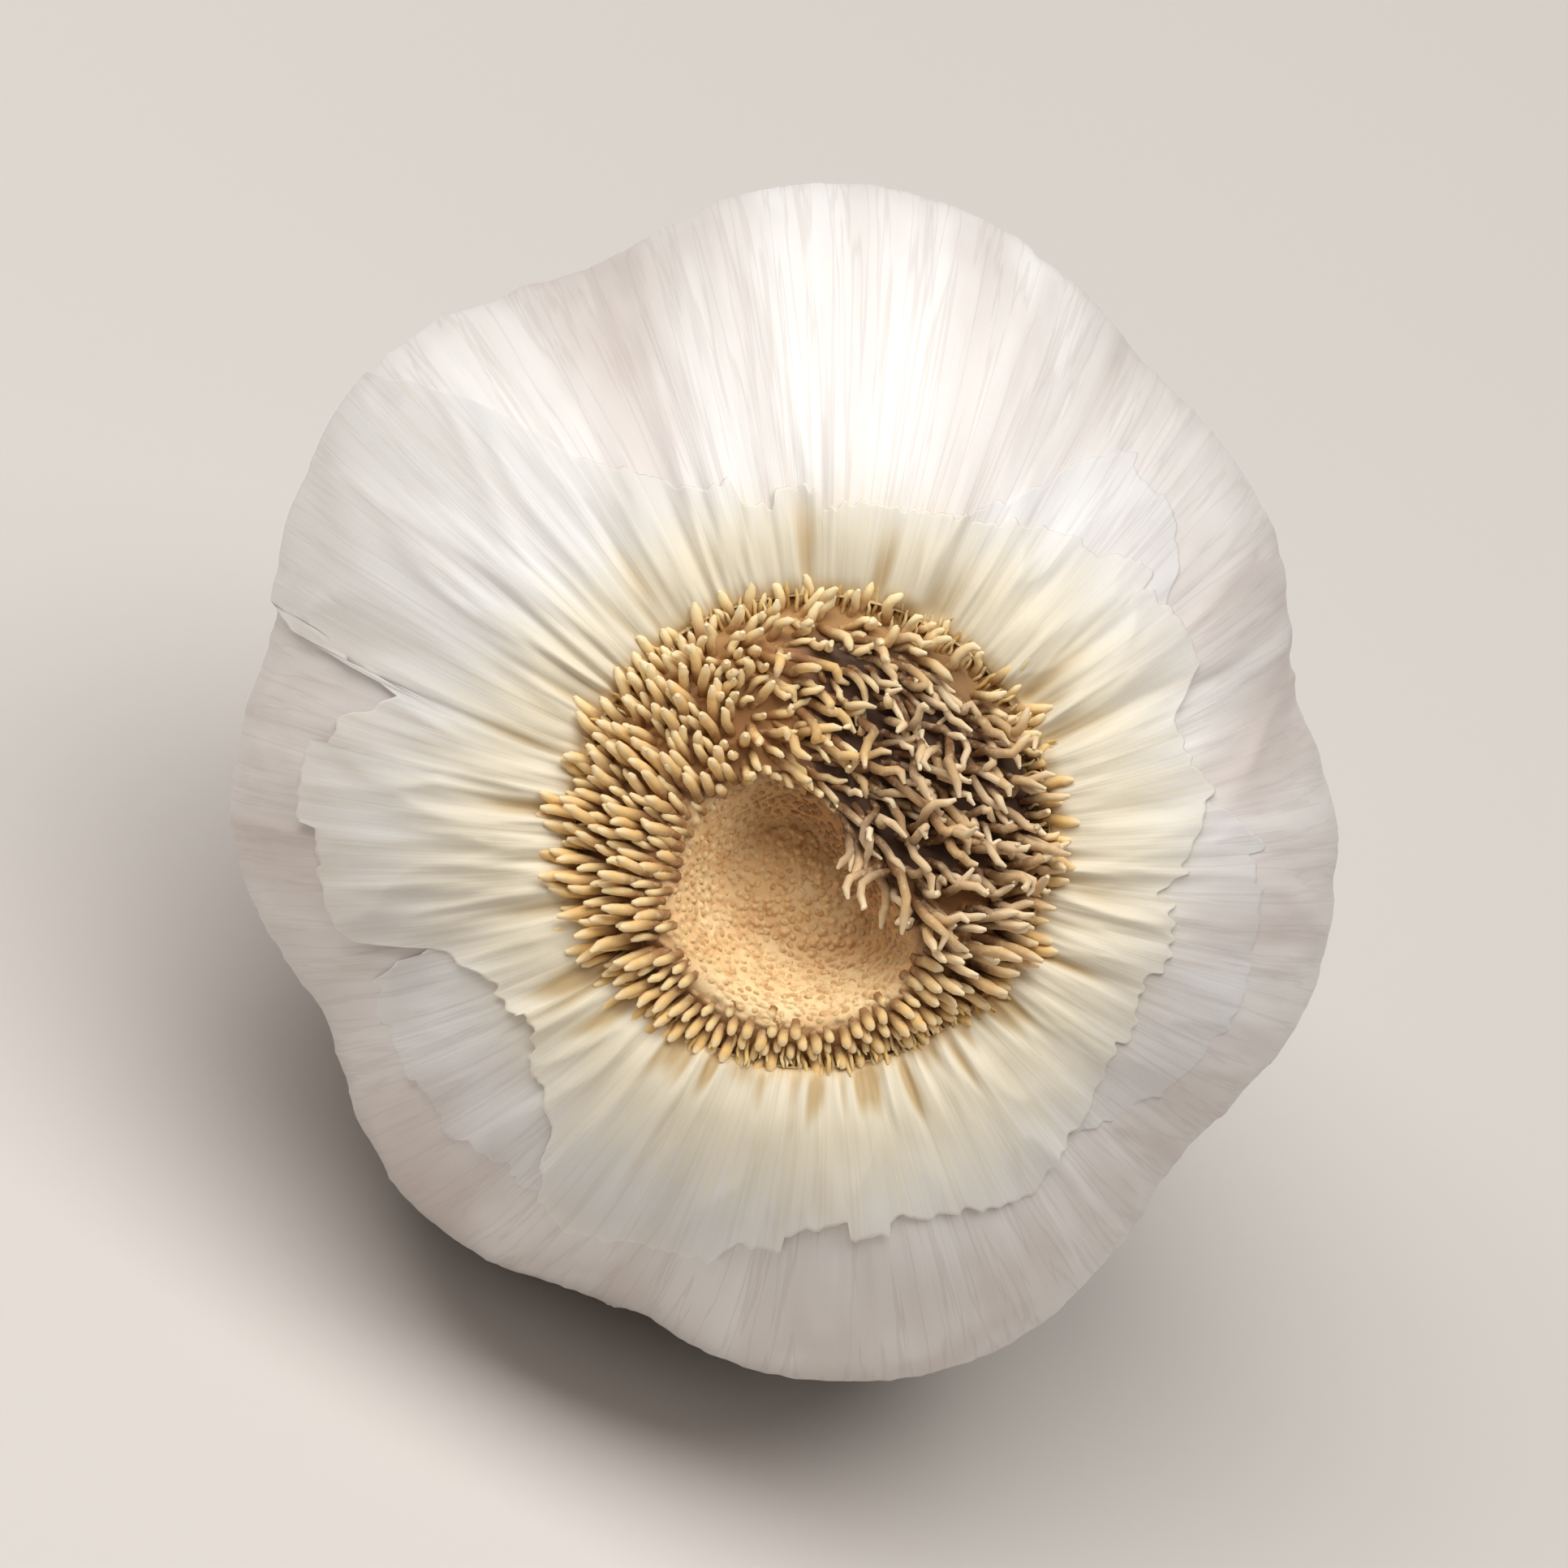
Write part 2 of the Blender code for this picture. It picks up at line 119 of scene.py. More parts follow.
def clove_outline(angle):
    """How far the skin, drawn over the cloves, lies from the axis at the widest plane."""
    total = 0.0
    for degrees, distance, radius in CLOVES:
        off = angle - np.radians(degrees)
        beside = distance * np.sin(off)
        reach = distance * np.cos(off) + np.sqrt(radius**2 - beside**2)
        total = total + (reach / MEAN_RADIUS) ** SKIN_TAUTNESS
    return MEAN_RADIUS * total ** (1 / SKIN_TAUTNESS)


def outline(place):
    """A smooth curve through the outline's keys: share, height and clove strength at each place."""
    keys = np.array(OUTLINE)
    at = np.clip(place, 0, 1) * (len(keys) - 1)
    first = np.minimum(at.astype(int), len(keys) - 2)
    share = (at - first)[..., None]
    before, here, there, after = (
        keys[np.clip(first + step, 0, len(keys) - 1)] for step in (-1, 0, 1, 2)
    )
    return 0.5 * (
        2 * here
        + (there - before) * share
        + (2 * before - 5 * here + 4 * there - after) * share**2
        + (3 * here - before - 3 * there + after) * share**3
    )


def wrapped(angle):
    """The same direction, between -pi and pi."""
    return (angle + np.pi) % (2 * np.pi) - np.pi


def facing(direction, side):
    """1 towards a side, 0 away from it."""
    return 0.5 + 0.5 * np.cos(direction - side)


def twisted(angle, place):
    """The direction at which a clove that twists towards the neck started out."""
    return angle + CLOVE_TWIST * smooth(0.4, 1.0, place)


def groove(angle):
    """How much deeper the skin sinks between the cloves."""
    total = 0.0
    for degrees, depth in GROOVES:
        off = wrapped(angle - np.radians(degrees))
        total = total + depth / (1 + (off / GROOVE_WIDTH) ** 2)
    return total


def skin_points(angle, place, raised=0.0):
    """Points of the skin: angle round the axis, place from the root end, 0, to the neck's end, 1."""
    angle, place, raised = np.broadcast_arrays(angle, place, raised)
    share, height, strength = np.moveaxis(outline(place), -1, 0)
    near = 0.002
    ahead = outline(place + near)
    behind = outline(place - near)
    along = np.stack(((ahead - behind)[..., 0] * MEAN_RADIUS, (ahead - behind)[..., 1]))
    along /= np.linalg.norm(along, axis=0)
    out_flat, out_up = -along[1], along[0]
    wound = twisted(angle, place)
    reach = clove_outline(wound)
    sunk = groove(wound) * smooth(0.41, 0.58, place) * (1 - smooth(0.74, 0.90, place))
    out = strength * (reach - MEAN_RADIUS) + raised - sunk
    reach = share * MEAN_RADIUS + out_flat * out
    at_root = 1 - smooth(0.0, 0.40, place)
    at_neck = smooth(0.6, 1.0, place)
    x = ROOT_SHIFT[0] * at_root + NECK_SHIFT[0] * at_neck + np.cos(angle) * reach
    y = ROOT_SHIFT[1] * at_root + NECK_SHIFT[1] * at_neck + np.sin(angle) * reach
    return np.stack((x, y, height + out_up * out), axis=-1)


def length_along(place):
    """Length of the outline from the root end to each place."""
    fine = np.linspace(0, 1, FINE)
    keys = outline(fine)
    lengths = np.hypot(np.diff(keys[:, 0]) * MEAN_RADIUS, np.diff(keys[:, 1]))
    return np.interp(place, fine, np.concatenate(((0,), np.cumsum(lengths))))


def place_of_share(share):
    """The place on the root side where the outline's radius is this share of MEAN_RADIUS."""
    fine = np.linspace(0, WIDEST_PLACE, FINE)
    return np.interp(share, outline(fine)[:, 0], fine)


def round_the_axis(keys, angle):
    """Values read off keys of (direction in degrees, value), all the way round."""
    directions, values = np.array(keys).T
    return np.interp(np.degrees(angle), directions, values, period=360)


def all_round(sides):
    """Directions all the way round, in radians."""
    return np.linspace(-np.pi, np.pi, sides, endpoint=False)


def wander(angle, seed, slowest, fastest):
    """A random wave of about 1 round the axis, with this many to that many swings."""
    chance = np.random.default_rng(seed)
    counts = np.arange(slowest, fastest + 1)
    starts = chance.uniform(0, 2 * np.pi, len(counts))
    sizes = chance.uniform(0.5, 1.0, len(counts)) / np.sqrt(len(counts) / 2)
    return np.sum(sizes * np.sin(counts * np.asarray(angle)[..., None] + starts), axis=-1)


def steps(angle, seed, count, sharpness):
    """A stair of random heights from -1 to 1 round the axis, as paper tears along its fibres."""
    chance = np.random.default_rng(seed)
    turns = np.sort(chance.uniform(-np.pi, np.pi, count))
    heights = chance.uniform(-1, 1, count)
    total = np.zeros_like(angle)
    for turn, here, there in zip(turns, heights, np.roll(heights, -1)):
        off = wrapped(angle - turn)
        total += (there - here) * 0.5 * (1 + np.tanh(off / sharpness)) * (np.abs(off) < np.pi)
    return total + heights[0]


def creases(angle, place, seed, count, span, depth, width):
    """Folds that run from root to neck, sharp on one side and easy on the other."""
    chance = np.random.default_rng(seed)
    first, last = span
    total = np.zeros(np.broadcast(angle, place).shape)
    for number in range(count):
        middle = 2 * np.pi * (number + chance.uniform(-0.45, 0.45)) / count
        lean = chance.uniform(-0.25, 0.25)
        start = first + chance.uniform(0, 0.25) * (last - first)
        end = last - chance.uniform(0, 0.6) * (last - first)
        size = chance.uniform(*depth)
        easy = chance.uniform(*width)
        side = chance.choice((-1, 1))
        off = side * wrapped(angle - middle - lean * (place - start))
        fold = np.where(off > 0, np.exp(-np.abs(off) / easy), np.exp(-np.abs(off) / (0.3 * easy)))
        total += size * fold * smooth(start, start + 0.05, place) * (1 - smooth(end - 0.12, end, place))
    return total


def linear(hex_colour):
    """An sRGB hex colour as linear RGBA."""
    channels = [int(hex_colour[i : i + 2], 16) / 255 for i in (1, 3, 5)]
    return (*(c / 12.92 if c <= 0.04045 else ((c + 0.055) / 1.055) ** 2.4 for c in channels), 1.0)


class Field:
    """What a node gives. Sums, differences and products of fields are math nodes, and fields too."""

    def __init__(self, socket):
        self.socket = socket
        self.tree = socket.id_data

    def __add__(self, other):
        return reckon("ADD", self, other)

    def __sub__(self, other):
        return reckon("SUBTRACT", self, other)

    def __rsub__(self, other):
        return reckon("SUBTRACT", other, self)

    def __mul__(self, other):
        return reckon("MULTIPLY", self, other)

    def __truediv__(self, other):
        return reckon("DIVIDE", self, other)


def put_in(node, inputs):
    """Gives a node its inputs, as values or links."""
    for key, value in inputs.items():
        if isinstance(value, Field):
            value.tree.links.new(value.socket, node.inputs[key])
        else:
            node.inputs[key].default_value = value


def add(tree, kind, inputs=None, output=0, **settings):
    """Adds a node with its settings and inputs, and gives one of its results."""
    made = tree.nodes.new(kind)
    for name, value in settings.items():
        setattr(made, name, value)
    put_in(made, inputs or {})
    return Field(made.outputs[output])


def is_vector(value):
    """Whether a field or a fixed value is a vector, or a colour taken as one."""
    return value.socket.type in ("VECTOR", "RGBA") if isinstance(value, Field) else isinstance(value, tuple)


def reckon(operation, *values):
    """The result of a math node, or of a vector math node where any value is a vector."""
    tree = next(value.tree for value in values if isinstance(value, Field))
    inputs = dict(enumerate(values))
    if not any(is_vector(value) for value in values):
        return add(tree, "ShaderNodeMath", inputs, operation=operation)
    if operation == "MULTIPLY" and not is_vector(values[1]):
        operation, inputs = "SCALE", {0: values[0], "Scale": values[1]}
    return add(tree, "ShaderNodeVectorMath", inputs, operation=operation)


def upward(height):
    """A vector straight up."""
    return add(height.tree, "ShaderNodeCombineXYZ", {2: height})


def spread(value, low, high, to_low=0.0, to_high=1.0):
    """A value taken from one range to another with an even curve, and held at its ends."""
    inputs = {"Value": value, "From Min": low, "From Max": high, "To Min": to_low, "To Max": to_high}
    return add(value.tree, "ShaderNodeMapRange", inputs, interpolation_type="SMOOTHSTEP")


def noise(vector, scale=1.0, detail=3.0, roughness=0.55, distortion=0.0, output=0):
    """A noise between 0 and 1, or three of them as a colour with output 1."""
    inputs = {"Vector": vector, "Scale": scale, "Detail": detail, "Roughness": roughness}
    return add(vector.tree, "ShaderNodeTexNoise", {**inputs, "Distortion": distortion}, output)


def blend(share, *hues):
    """Two colours mixed, each a field, a linear colour or an sRGB hex colour."""
    here, there = (linear(hue) if isinstance(hue, str) else hue for hue in hues)
    return add(share.tree, "ShaderNodeMix", {0: share, 6: here, 7: there}, 2, data_type="RGBA")


def layered(colour, *layers):
    """A colour with others laid over it in turn, each by its share."""
    for share, hue in layers:
        colour = blend(share, colour, hue)
    return colour


def new_tree(name, sizes):
    """An empty node tree for a modifier, and its named inputs with their usual values."""
    tree = bpy.data.node_groups.new(name, "GeometryNodeTree")
    tree.is_modifier = True

    def new_socket(label, kind, side="INPUT"):
        return tree.interface.new_socket(label, in_out=side, socket_type="NodeSocket" + kind)

    new_socket("Geometry", "Geometry")
    for label, value in sizes.items():
        new_socket(label, "Int" if isinstance(value, int) else "Float").default_value = value
    new_socket("Material", "Material")
    new_socket("Geometry", "Geometry", "OUTPUT")
    given = tree.nodes.new("NodeGroupInput").outputs
    return tree, {socket.name: Field(socket) for socket in given if socket.name}


def stored(tree, name, kind="FLOAT"):
    """A named attribute, as a field."""
    return add(tree, "GeometryNodeInputNamedAttribute", {"Name": name}, data_type=kind)


def keep(geometry, name, value, kind="FLOAT"):
    """Stores a named attribute on the points."""
    inputs = {"Geometry": geometry, "Name": name, "Value": value}
    return add(geometry.tree, "GeometryNodeStoreNamedAttribute", inputs, data_type=kind, domain="POINT")


def finish_tree(geometry, given):
    """The end of each tree: plain geometry with its material."""
    tree = geometry.tree
    plain = add(tree, "GeometryNodeRealizeInstances", {"Geometry": geometry})
    painted = add(tree, "GeometryNodeSetMaterial", {"Geometry": plain, "Material": given["Material"]})
    tree.links.new(painted.socket, tree.nodes.new("NodeGroupOutput").inputs[0])
    return tree


def run_nodes(obj, tree, **values):
    """Runs a tree on an object and keeps what it gives as the object's plain mesh."""
    modifier = obj.modifiers.new(tree.name, "NODES")
    modifier.node_group = tree
    for item in tree.interface.items_tree:
        if item.in_out == "INPUT" and item.name in values:
            modifier[item.identifier] = values[item.name]
    depsgraph = bpy.context.evaluated_depsgraph_get()
    seen = obj.evaluated_get(depsgraph)
    mesh = bpy.data.meshes.new_from_object(seen, preserve_all_data_layers=True, depsgraph=depsgraph)
    obj.modifiers.remove(modifier)
    obj.data = mesh


def placed(name, data):
    """A new object in the scene."""
    made = bpy.data.objects.new(name, data)
    bpy.context.scene.collection.objects.link(made)
    return made


def wall_mesh(name, grid, fields, closed_start=False, closed_end=False, joined=False):
    """A mesh from a grid of points, rings by sides, closed round its sides.

    Its two ends are left open, closed with a fan each, or joined to each other.
    """
    rings, sides = grid.shape[:2]
    points = grid.reshape(-1, 3)
    corners = np.arange(rings * sides).reshape(rings, sides)
    if joined:
        corners = np.vstack((corners, corners[:1]))
    turned = np.roll(corners, -1, axis=1)
    quads = np.stack((corners[:-1], corners[1:], turned[1:], turned[:-1]), axis=-1).reshape(-1, 4)
    faces = quads.tolist()
    ends = [end for end, closed in ((0, closed_start), (-1, closed_end)) if closed]
    for end in ends:
        ring, middle = corners[end], len(points)
        points = np.vstack((points, grid[end].mean(axis=0)))
        for a, b in zip(ring.tolist(), np.roll(ring, -1).tolist()):
            faces.append((a, middle, b) if end else (b, middle, a))
    mesh = bpy.data.meshes.new(name)
    mesh.from_pydata(points.tolist(), [], faces)
    for field, values in fields.items():
        flat = np.asarray(values, dtype=np.float32).reshape(rings * sides, -1)
        flat = np.vstack([flat, *(flat[corners[end]].mean(axis=0) for end in ends)])
        kind = "FLOAT" if flat.shape[1] == 1 else "FLOAT_VECTOR"
        made = mesh.attributes.new(field, kind, "POINT")
        made.data.foreach_set("value" if kind == "FLOAT" else "vector", flat.ravel())
    mesh.shade_smooth()
    return placed(name, mesh)


def outward(grid):
    """The outward direction at each point of a skin's grid, whose rings run from root to neck."""
    round_it = np.roll(grid, -1, axis=1) - np.roll(grid, 1, axis=1)
    down_it = np.gradient(grid, axis=0)
    out = np.cross(round_it, down_it)
    return -out / np.maximum(np.linalg.norm(out, axis=-1, keepdims=True), 1e-12)


def grain(angle, place):
    """Coordinates for what runs from root to neck: two round the axis and one along, in metres."""
    angle, place = np.broadcast_arrays(angle, place)
    return np.stack((np.cos(angle), np.sin(angle), length_along(place)), axis=-1)


def cream_share(angle, place):
    """How creamy a skin is: 1 at the roots, less far on the upper side, and again at the neck."""
    angle, place = np.broadcast_arrays(angle, place)
    reach = 0.21 - 0.07 * smooth(0.2, 1.0, np.sin(angle - np.radians(10)))
    return np.maximum(1 - smooth(0.03, reach, place), 0.95 * smooth(0.70, 0.94, place))


def clove_valley(angle, place):
    """1 in the valleys between the cloves, 0 on their crests."""
    angle, place = np.broadcast_arrays(angle, place)
    reach = clove_outline(twisted(angle, place))
    return smooth(0.02, 0.10, 1.06 - reach / MEAN_RADIUS) * outline(place)[..., 2]


def skin_relief():
    """Raises a skin outwards: pleats round the roots, veins, slack wrinkles and fibres."""
    tree, given = new_tree(
        "skin relief",
        {
            "Pleat height": 0.4 * MM,
            "Pleats": 6.2,
            "Pleat reach": 8.0 * MM,
            "Vein height": 0.04 * MM,
            "Veins": 22.0,
            "Wrinkle height": 0.45 * MM,
            "Crease height": 0.28 * MM,
            "Fibre height": 0.02 * MM,
            "Seed": 0.0,
        },
    )
    along = stored(tree, "grain", "FLOAT_VECTOR")
    mask = stored(tree, "relief_mask")
    rightward, forward, from_roots = (
        add(tree, "ShaderNodeSeparateXYZ", {0: along}, axis) for axis in range(3)
    )

    def streaks(around, length):
        return along * add(tree, "ShaderNodeCombineXYZ", {0: around, 1: around, 2: 1 / length})

    def crest(value, sharpness):
        return reckon("MAXIMUM", 1.0 - reckon("ABSOLUTE", value - 0.5) * sharpness, 0.0)

    wide = crest(noise(streaks(given["Pleats"], 16 * MM), detail=1.5), 5.0)
    narrow = crest(noise(streaks(given["Pleats"] * 2.3, 11 * MM), detail=1.0), 4.0)
    pleat = wide * 0.7 + narrow * 0.3
    strength = spread(noise(streaks(2.6, 30 * MM), detail=2.0), 0.32, 0.68, 0.35, 1.25)
    uneven = noise(streaks(6.0, 100 * MM), detail=2.0)
    low_side = spread(forward, -1.0, -0.35, 0.55, 1.0)
    left_side = spread(rightward, -0.5, -1.0, 1.0, 1.5)
    ended = from_roots / (given["Pleat reach"] * low_side * left_side) - (uneven * 1.6 - 0.8)
    pleated = spread(ended, 1.15, 0.15) * mask
    folds = (pleat - 0.55) * given["Pleat height"] * pleated * strength

    vein = crest(noise(streaks(given["Veins"], 30 * MM) + upward(given["Seed"]), detail=2.0), 5.0)
    wrinkles = noise(streaks(3.2, 16 * MM), detail=2.5, distortion=0.6)
    creased = crest(noise(streaks(4.2, 17 * MM), detail=1.2, distortion=0.5), 4.5)
    fibres = noise(streaks(70.0, 9 * MM), detail=1.0)
    height = (
        vein * given["Vein height"]
        + (creased - 0.4) * given["Crease height"]
        + (wrinkles - 0.5) * given["Wrinkle height"]
        + (fibres - 0.5) * given["Fibre height"]
    )
    offset = stored(tree, "out", "FLOAT_VECTOR") * (height * mask + folds)
    moved = add(tree, "GeometryNodeSetPosition", {"Geometry": given["Geometry"], "Offset": offset})
    # Painted shade for the pleats' valleys, stronger near the roots and on the lower side, kept as the fold
    # attribute
    close = spread(from_roots, 9 * MM, 1 * MM, 0.25, 1.0)
    painted_fold_shade = (1.0 - pleat) * (pleated * close) * spread(forward, -0.95, -0.30, 1.7, 1.0)
    return finish_tree(keep(moved, "fold", painted_fold_shade), given)


def new_finish(name):
    """A new material, its node tree and the place on the object that its patterns follow."""
    made = bpy.data.materials.new(name)
    made.use_nodes = True
    return made, made.node_tree, add(made.node_tree, "ShaderNodeTexCoord", output="Object")


def painted(tree, names, output="Fac"):
    """The attributes that the meshes carry for a material."""
    return (add(tree, "ShaderNodeAttribute", output=output, attribute_name=name) for name in names.split())


def shade(made, colour, roughness, looks=None):
    """Sets a material's shader, as values or links."""
    looks = {"Base Color": colour, "Roughness": roughness, **(looks or {})}
    put_in(made.node_tree.nodes["Principled BSDF"], looks)
    return made


def bumped(height, strength, distance, **under):
    """A normal bumped by a height, over another normal if one is given."""
    inputs = {"Height": height, "Strength": strength, "Distance": distance, **under}
    return add(height.tree, "ShaderNodeBump", inputs)


def painted_top_light_share(top_side, rim):
    """How much painted light a spot gets at the top of the ring of roots."""
    return spread(top_side, 0.7, 0.97) * spread(rim, 0.0, 0.6)


def dry_skin(name, hues, cream_reach, vein_strength, shade_depth):
    """Dry outer skin: satin paper with fine veins, creamy towards the roots, with painted shade in its
    pleat folds, its clove valleys and its creases.
    """
    white, cast, cream, fold, vein_hue = hues
    made, tree, object_place = new_finish(name)
    (place,) = painted(tree, "grain", "Vector")
    creamy, fold_shade, creased, valley, inner = painted(tree, "cream fold crease valley inner")

    def streaks(around, length):
        return place * (around, around, 1 / length)

    patches = spread(noise(streaks(2.4, 26 * MM), distortion=0.4), 0.44, 0.70)
    bands = spread(noise(streaks(7.0, 70 * MM), detail=2.0), 0.42, 0.66)
    veins = noise(streaks(30.0, 26 * MM), distortion=0.3)
    fine_veins = noise(streaks(85.0, 12 * MM), detail=2.0)
    vein_line = spread(reckon("ABSOLUTE", veins - 0.5), 0.045, 0.0)
    stained = inner * (fine_veins * 1.2 + 0.2)
    colour = layered(
        blend(patches, white, cast),
        (bands * 0.45, cast),
        (spread(creamy + (fine_veins * 0.5 - 0.25), 0.1, cream_reach), cream),
        (vein_line * vein_strength, vein_hue),
        # Painted shade in the valleys between the cloves and along the creases
        (valley * shade_depth, vein_hue),
        (creased * 0.25, vein_hue),
        # Painted tan shade in the pleats' valleys
        (spread(fold_shade, 0.25, 0.8) * 0.8, fold),
        (reckon("MINIMUM", stained, 0.75), "#CFA86A"),
    )
    fibrous = bumped(fine_veins, 0.35, 0.06 * MM)
    crumple = noise(object_place, 1 / (1.6 * MM), detail=4.0, roughness=0.6)
    looks = {
        "Normal": bumped(crumple, 0.20, 0.12 * MM, Normal=fibrous),
        "IOR": SKIN_IOR,
        "Subsurface Weight": 0.18,
        "Subsurface Radius": (1.0, 0.75, 0.5),
        "Subsurface Scale": 0.8 * MM,
        "Sheen Weight": 0.08,
    }
    return shade(made, colour, crumple * 0.20 + 0.40 + creamy * 0.08, looks)


def dry_root(name):
    """Dry trimmed root: matt and fibrous, pale tan at the cut end and dark brown at the foot, which is
    painted shade among the roots.
    """
    made, tree, object_place = new_finish(name)
    tip, chance, outward_share, long_side, top_side, rim = painted(
        tree, "tip chance outward long_side top_side rim"
    )
    rough = noise(object_place, 1 / (0.35 * MM), detail=4.0, roughness=0.65)
    top_light = painted_top_light_share(top_side, rim)
    tangled = spread(long_side, 0.66, 0.95) * spread(rim, 0.9, 0.3)
    # Painted shade that darkens the foot among the roots, deepest under the long roots, lightened by
    # painted light at the ring's top
    foot = blend(top_light, blend(spread(long_side, 0.62, 0.92), "#9A6C3A", "#6C4620"), "#BE9056")
    pale = layered(
        blend(chance, "#F8DDA2", "#E8BE7A"),
        (spread(outward_share, 0.35, 0.9, 0.0, 0.7), "#EDC272"),
        # The long tangled roots paler and dusty: partly their own colour, partly painted highlight
        (tangled * 0.85, blend(chance, "#F2DDBE", "#C69E6C")),
        # Painted light on the roots at the top of the ring
        (top_light * 0.7, "#FFEBB8"),
    )
    colour = layered(
        blend(spread(tip, 0.22, 0.74), foot, pale),
        (spread(tip, 0.72, 1.0) * 0.6, "#F7E6C2"),
        (spread(rough, 0.45, 0.85, 0.0, 0.6), "#F0DBB2"),
        (spread(chance - tip * 0.4, 0.72, 0.95) * 0.5, "#8F5E38"),
    )
    looks = {
        "Normal": bumped(rough, 0.5, 0.06 * MM),
        "IOR": PLANT_IOR,
        "Subsurface Weight": 0.08,
        "Subsurface Scale": 0.3 * MM,
    }
    return shade(made, colour, rough * 0.2 + 0.62, looks)


def fringe_finish(name):
    """Frayed husk fibres: golden straw, a little glossy, paler at the tips."""
    made, tree, _ = new_finish(name)
    tip, chance = painted(tree, "tip chance")
    straw = blend(spread(tip, 0.0, 0.8), "#C29A58", blend(chance, "#F0DEAE", "#DDBB74"))
    looks = {"IOR": PLANT_IOR, "Subsurface Weight": 0.1, "Subsurface Scale": 0.3 * MM}
    return shade(made, straw, chance * 0.15 + 0.5, looks)


def scar_finish(name):
    """The low stub of a root that broke off flush: dry cork, tan with pale flecks, darker with painted
    shade on the bowl's steep wall.
    """
    made, tree, object_place = new_finish(name)
    chance, wall = painted(tree, "chance wall")
    rough = noise(object_place, 1 / (0.25 * MM), roughness=0.65)
    colour = layered(
        blend(chance, "#E9C890", "#CFA06A"),
        (spread(rough, 0.45, 0.75), "#F2D9A8"),
        # Painted shade on the bowl's steep wall
        (wall * 0.75, "#8F5F38"),
    )
    looks = {"Normal": bumped(rough, 0.4, 0.04 * MM), "IOR": PLANT_IOR}
    return shade(made, colour, rough * 0.2 + 0.6, looks)


def root_plate_skin(name):
    """The bare root plate: corky and dry, with the pale dots of roots that broke off flush, painted shade
    between the roots and on the bowl's steep wall, and painted light at the ring's top.
    """
    made, tree, object_place = new_finish(name)
    crest, scar, wall, combed, top_side, rim = painted(tree, "crest scar wall combed top_side rim")
    cork = noise(object_place, 1 / (0.5 * MM), detail=5.0, roughness=0.65)
    broad = noise(object_place, 1 / (3.0 * MM), detail=2.0)
    top_light = painted_top_light_share(top_side, rim)
    # Painted shade between the roots, darkest under the combed long roots, and lighter with painted light
    # at the ring's top
    between = blend(top_light, blend(spread(combed, 0.75, 1.0), "#A07040", "#4A2E18"), "#AC8350")
    colour = layered(
        blend(spread(broad, 0.35, 0.65), "#EDC48C", "#F7DAA6"),
        (spread(cork, 0.45, 0.78), "#BD8850"),
        (scar * 0.6, "#EFD3A0"),
        # Painted shade on the bowl's steep wall
        (wall * 0.7, "#99693F"),
        (crest, between),
        (spread(rim, 0.75, 1.0, 0.0, 0.7), "#B48546"),
    )
    looks = {"Normal": bumped(cork, 0.5, 0.08 * MM), "IOR": PLANT_IOR}
    return shade(made, colour, cork * 0.2 + 0.6, looks)


def matt_paint(name):
    """Matt pale paint: plain, with a faint cloudiness."""
    made, _, place = new_finish(name)
    cloudy = blend(noise(place, 6.0, detail=2.0), "#CEC8C2", "#D4CEC9")
    return shade(made, cloudy, 0.7)


def finish_piece(obj, node):
    mesh = obj.data
    mesh.transform(LAID_DOWN)
    points = np.empty(len(mesh.vertices) * 3, dtype=np.float32)
    mesh.vertices.foreach_get("co", points)
    points[2::3] = np.maximum(points[2::3], 0.0)
    mesh.vertices.foreach_set("co", points)
    mesh.update()
    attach(obj, "root")
    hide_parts(node)


def neck_folds(angle, place):
    """Height of the folds that gather the skins into the neck."""
    gathered = smooth(0.72, 0.90, place)
    return gathered * (0.32 * MM * wander(angle, 5, 5, 13) + 0.11 * MM * wander(angle, 6, 15, 38))


def side_folds(angle, place):
    """Height of the folds that run down the valleys between the cloves to the neck."""
    folds = creases(angle, place, 11, 23, (0.14, 0.95), (0.15 * MM, 0.75 * MM), (0.025, 0.06))
    in_valley = 0.45 + 0.75 * clove_valley(angle, place)
    near_neck = (0.26 + 0.74 * smooth(0.40, 0.54, place)) * (1 - 0.6 * smooth(0.74, 0.90, place))
    return folds * in_valley * near_neck


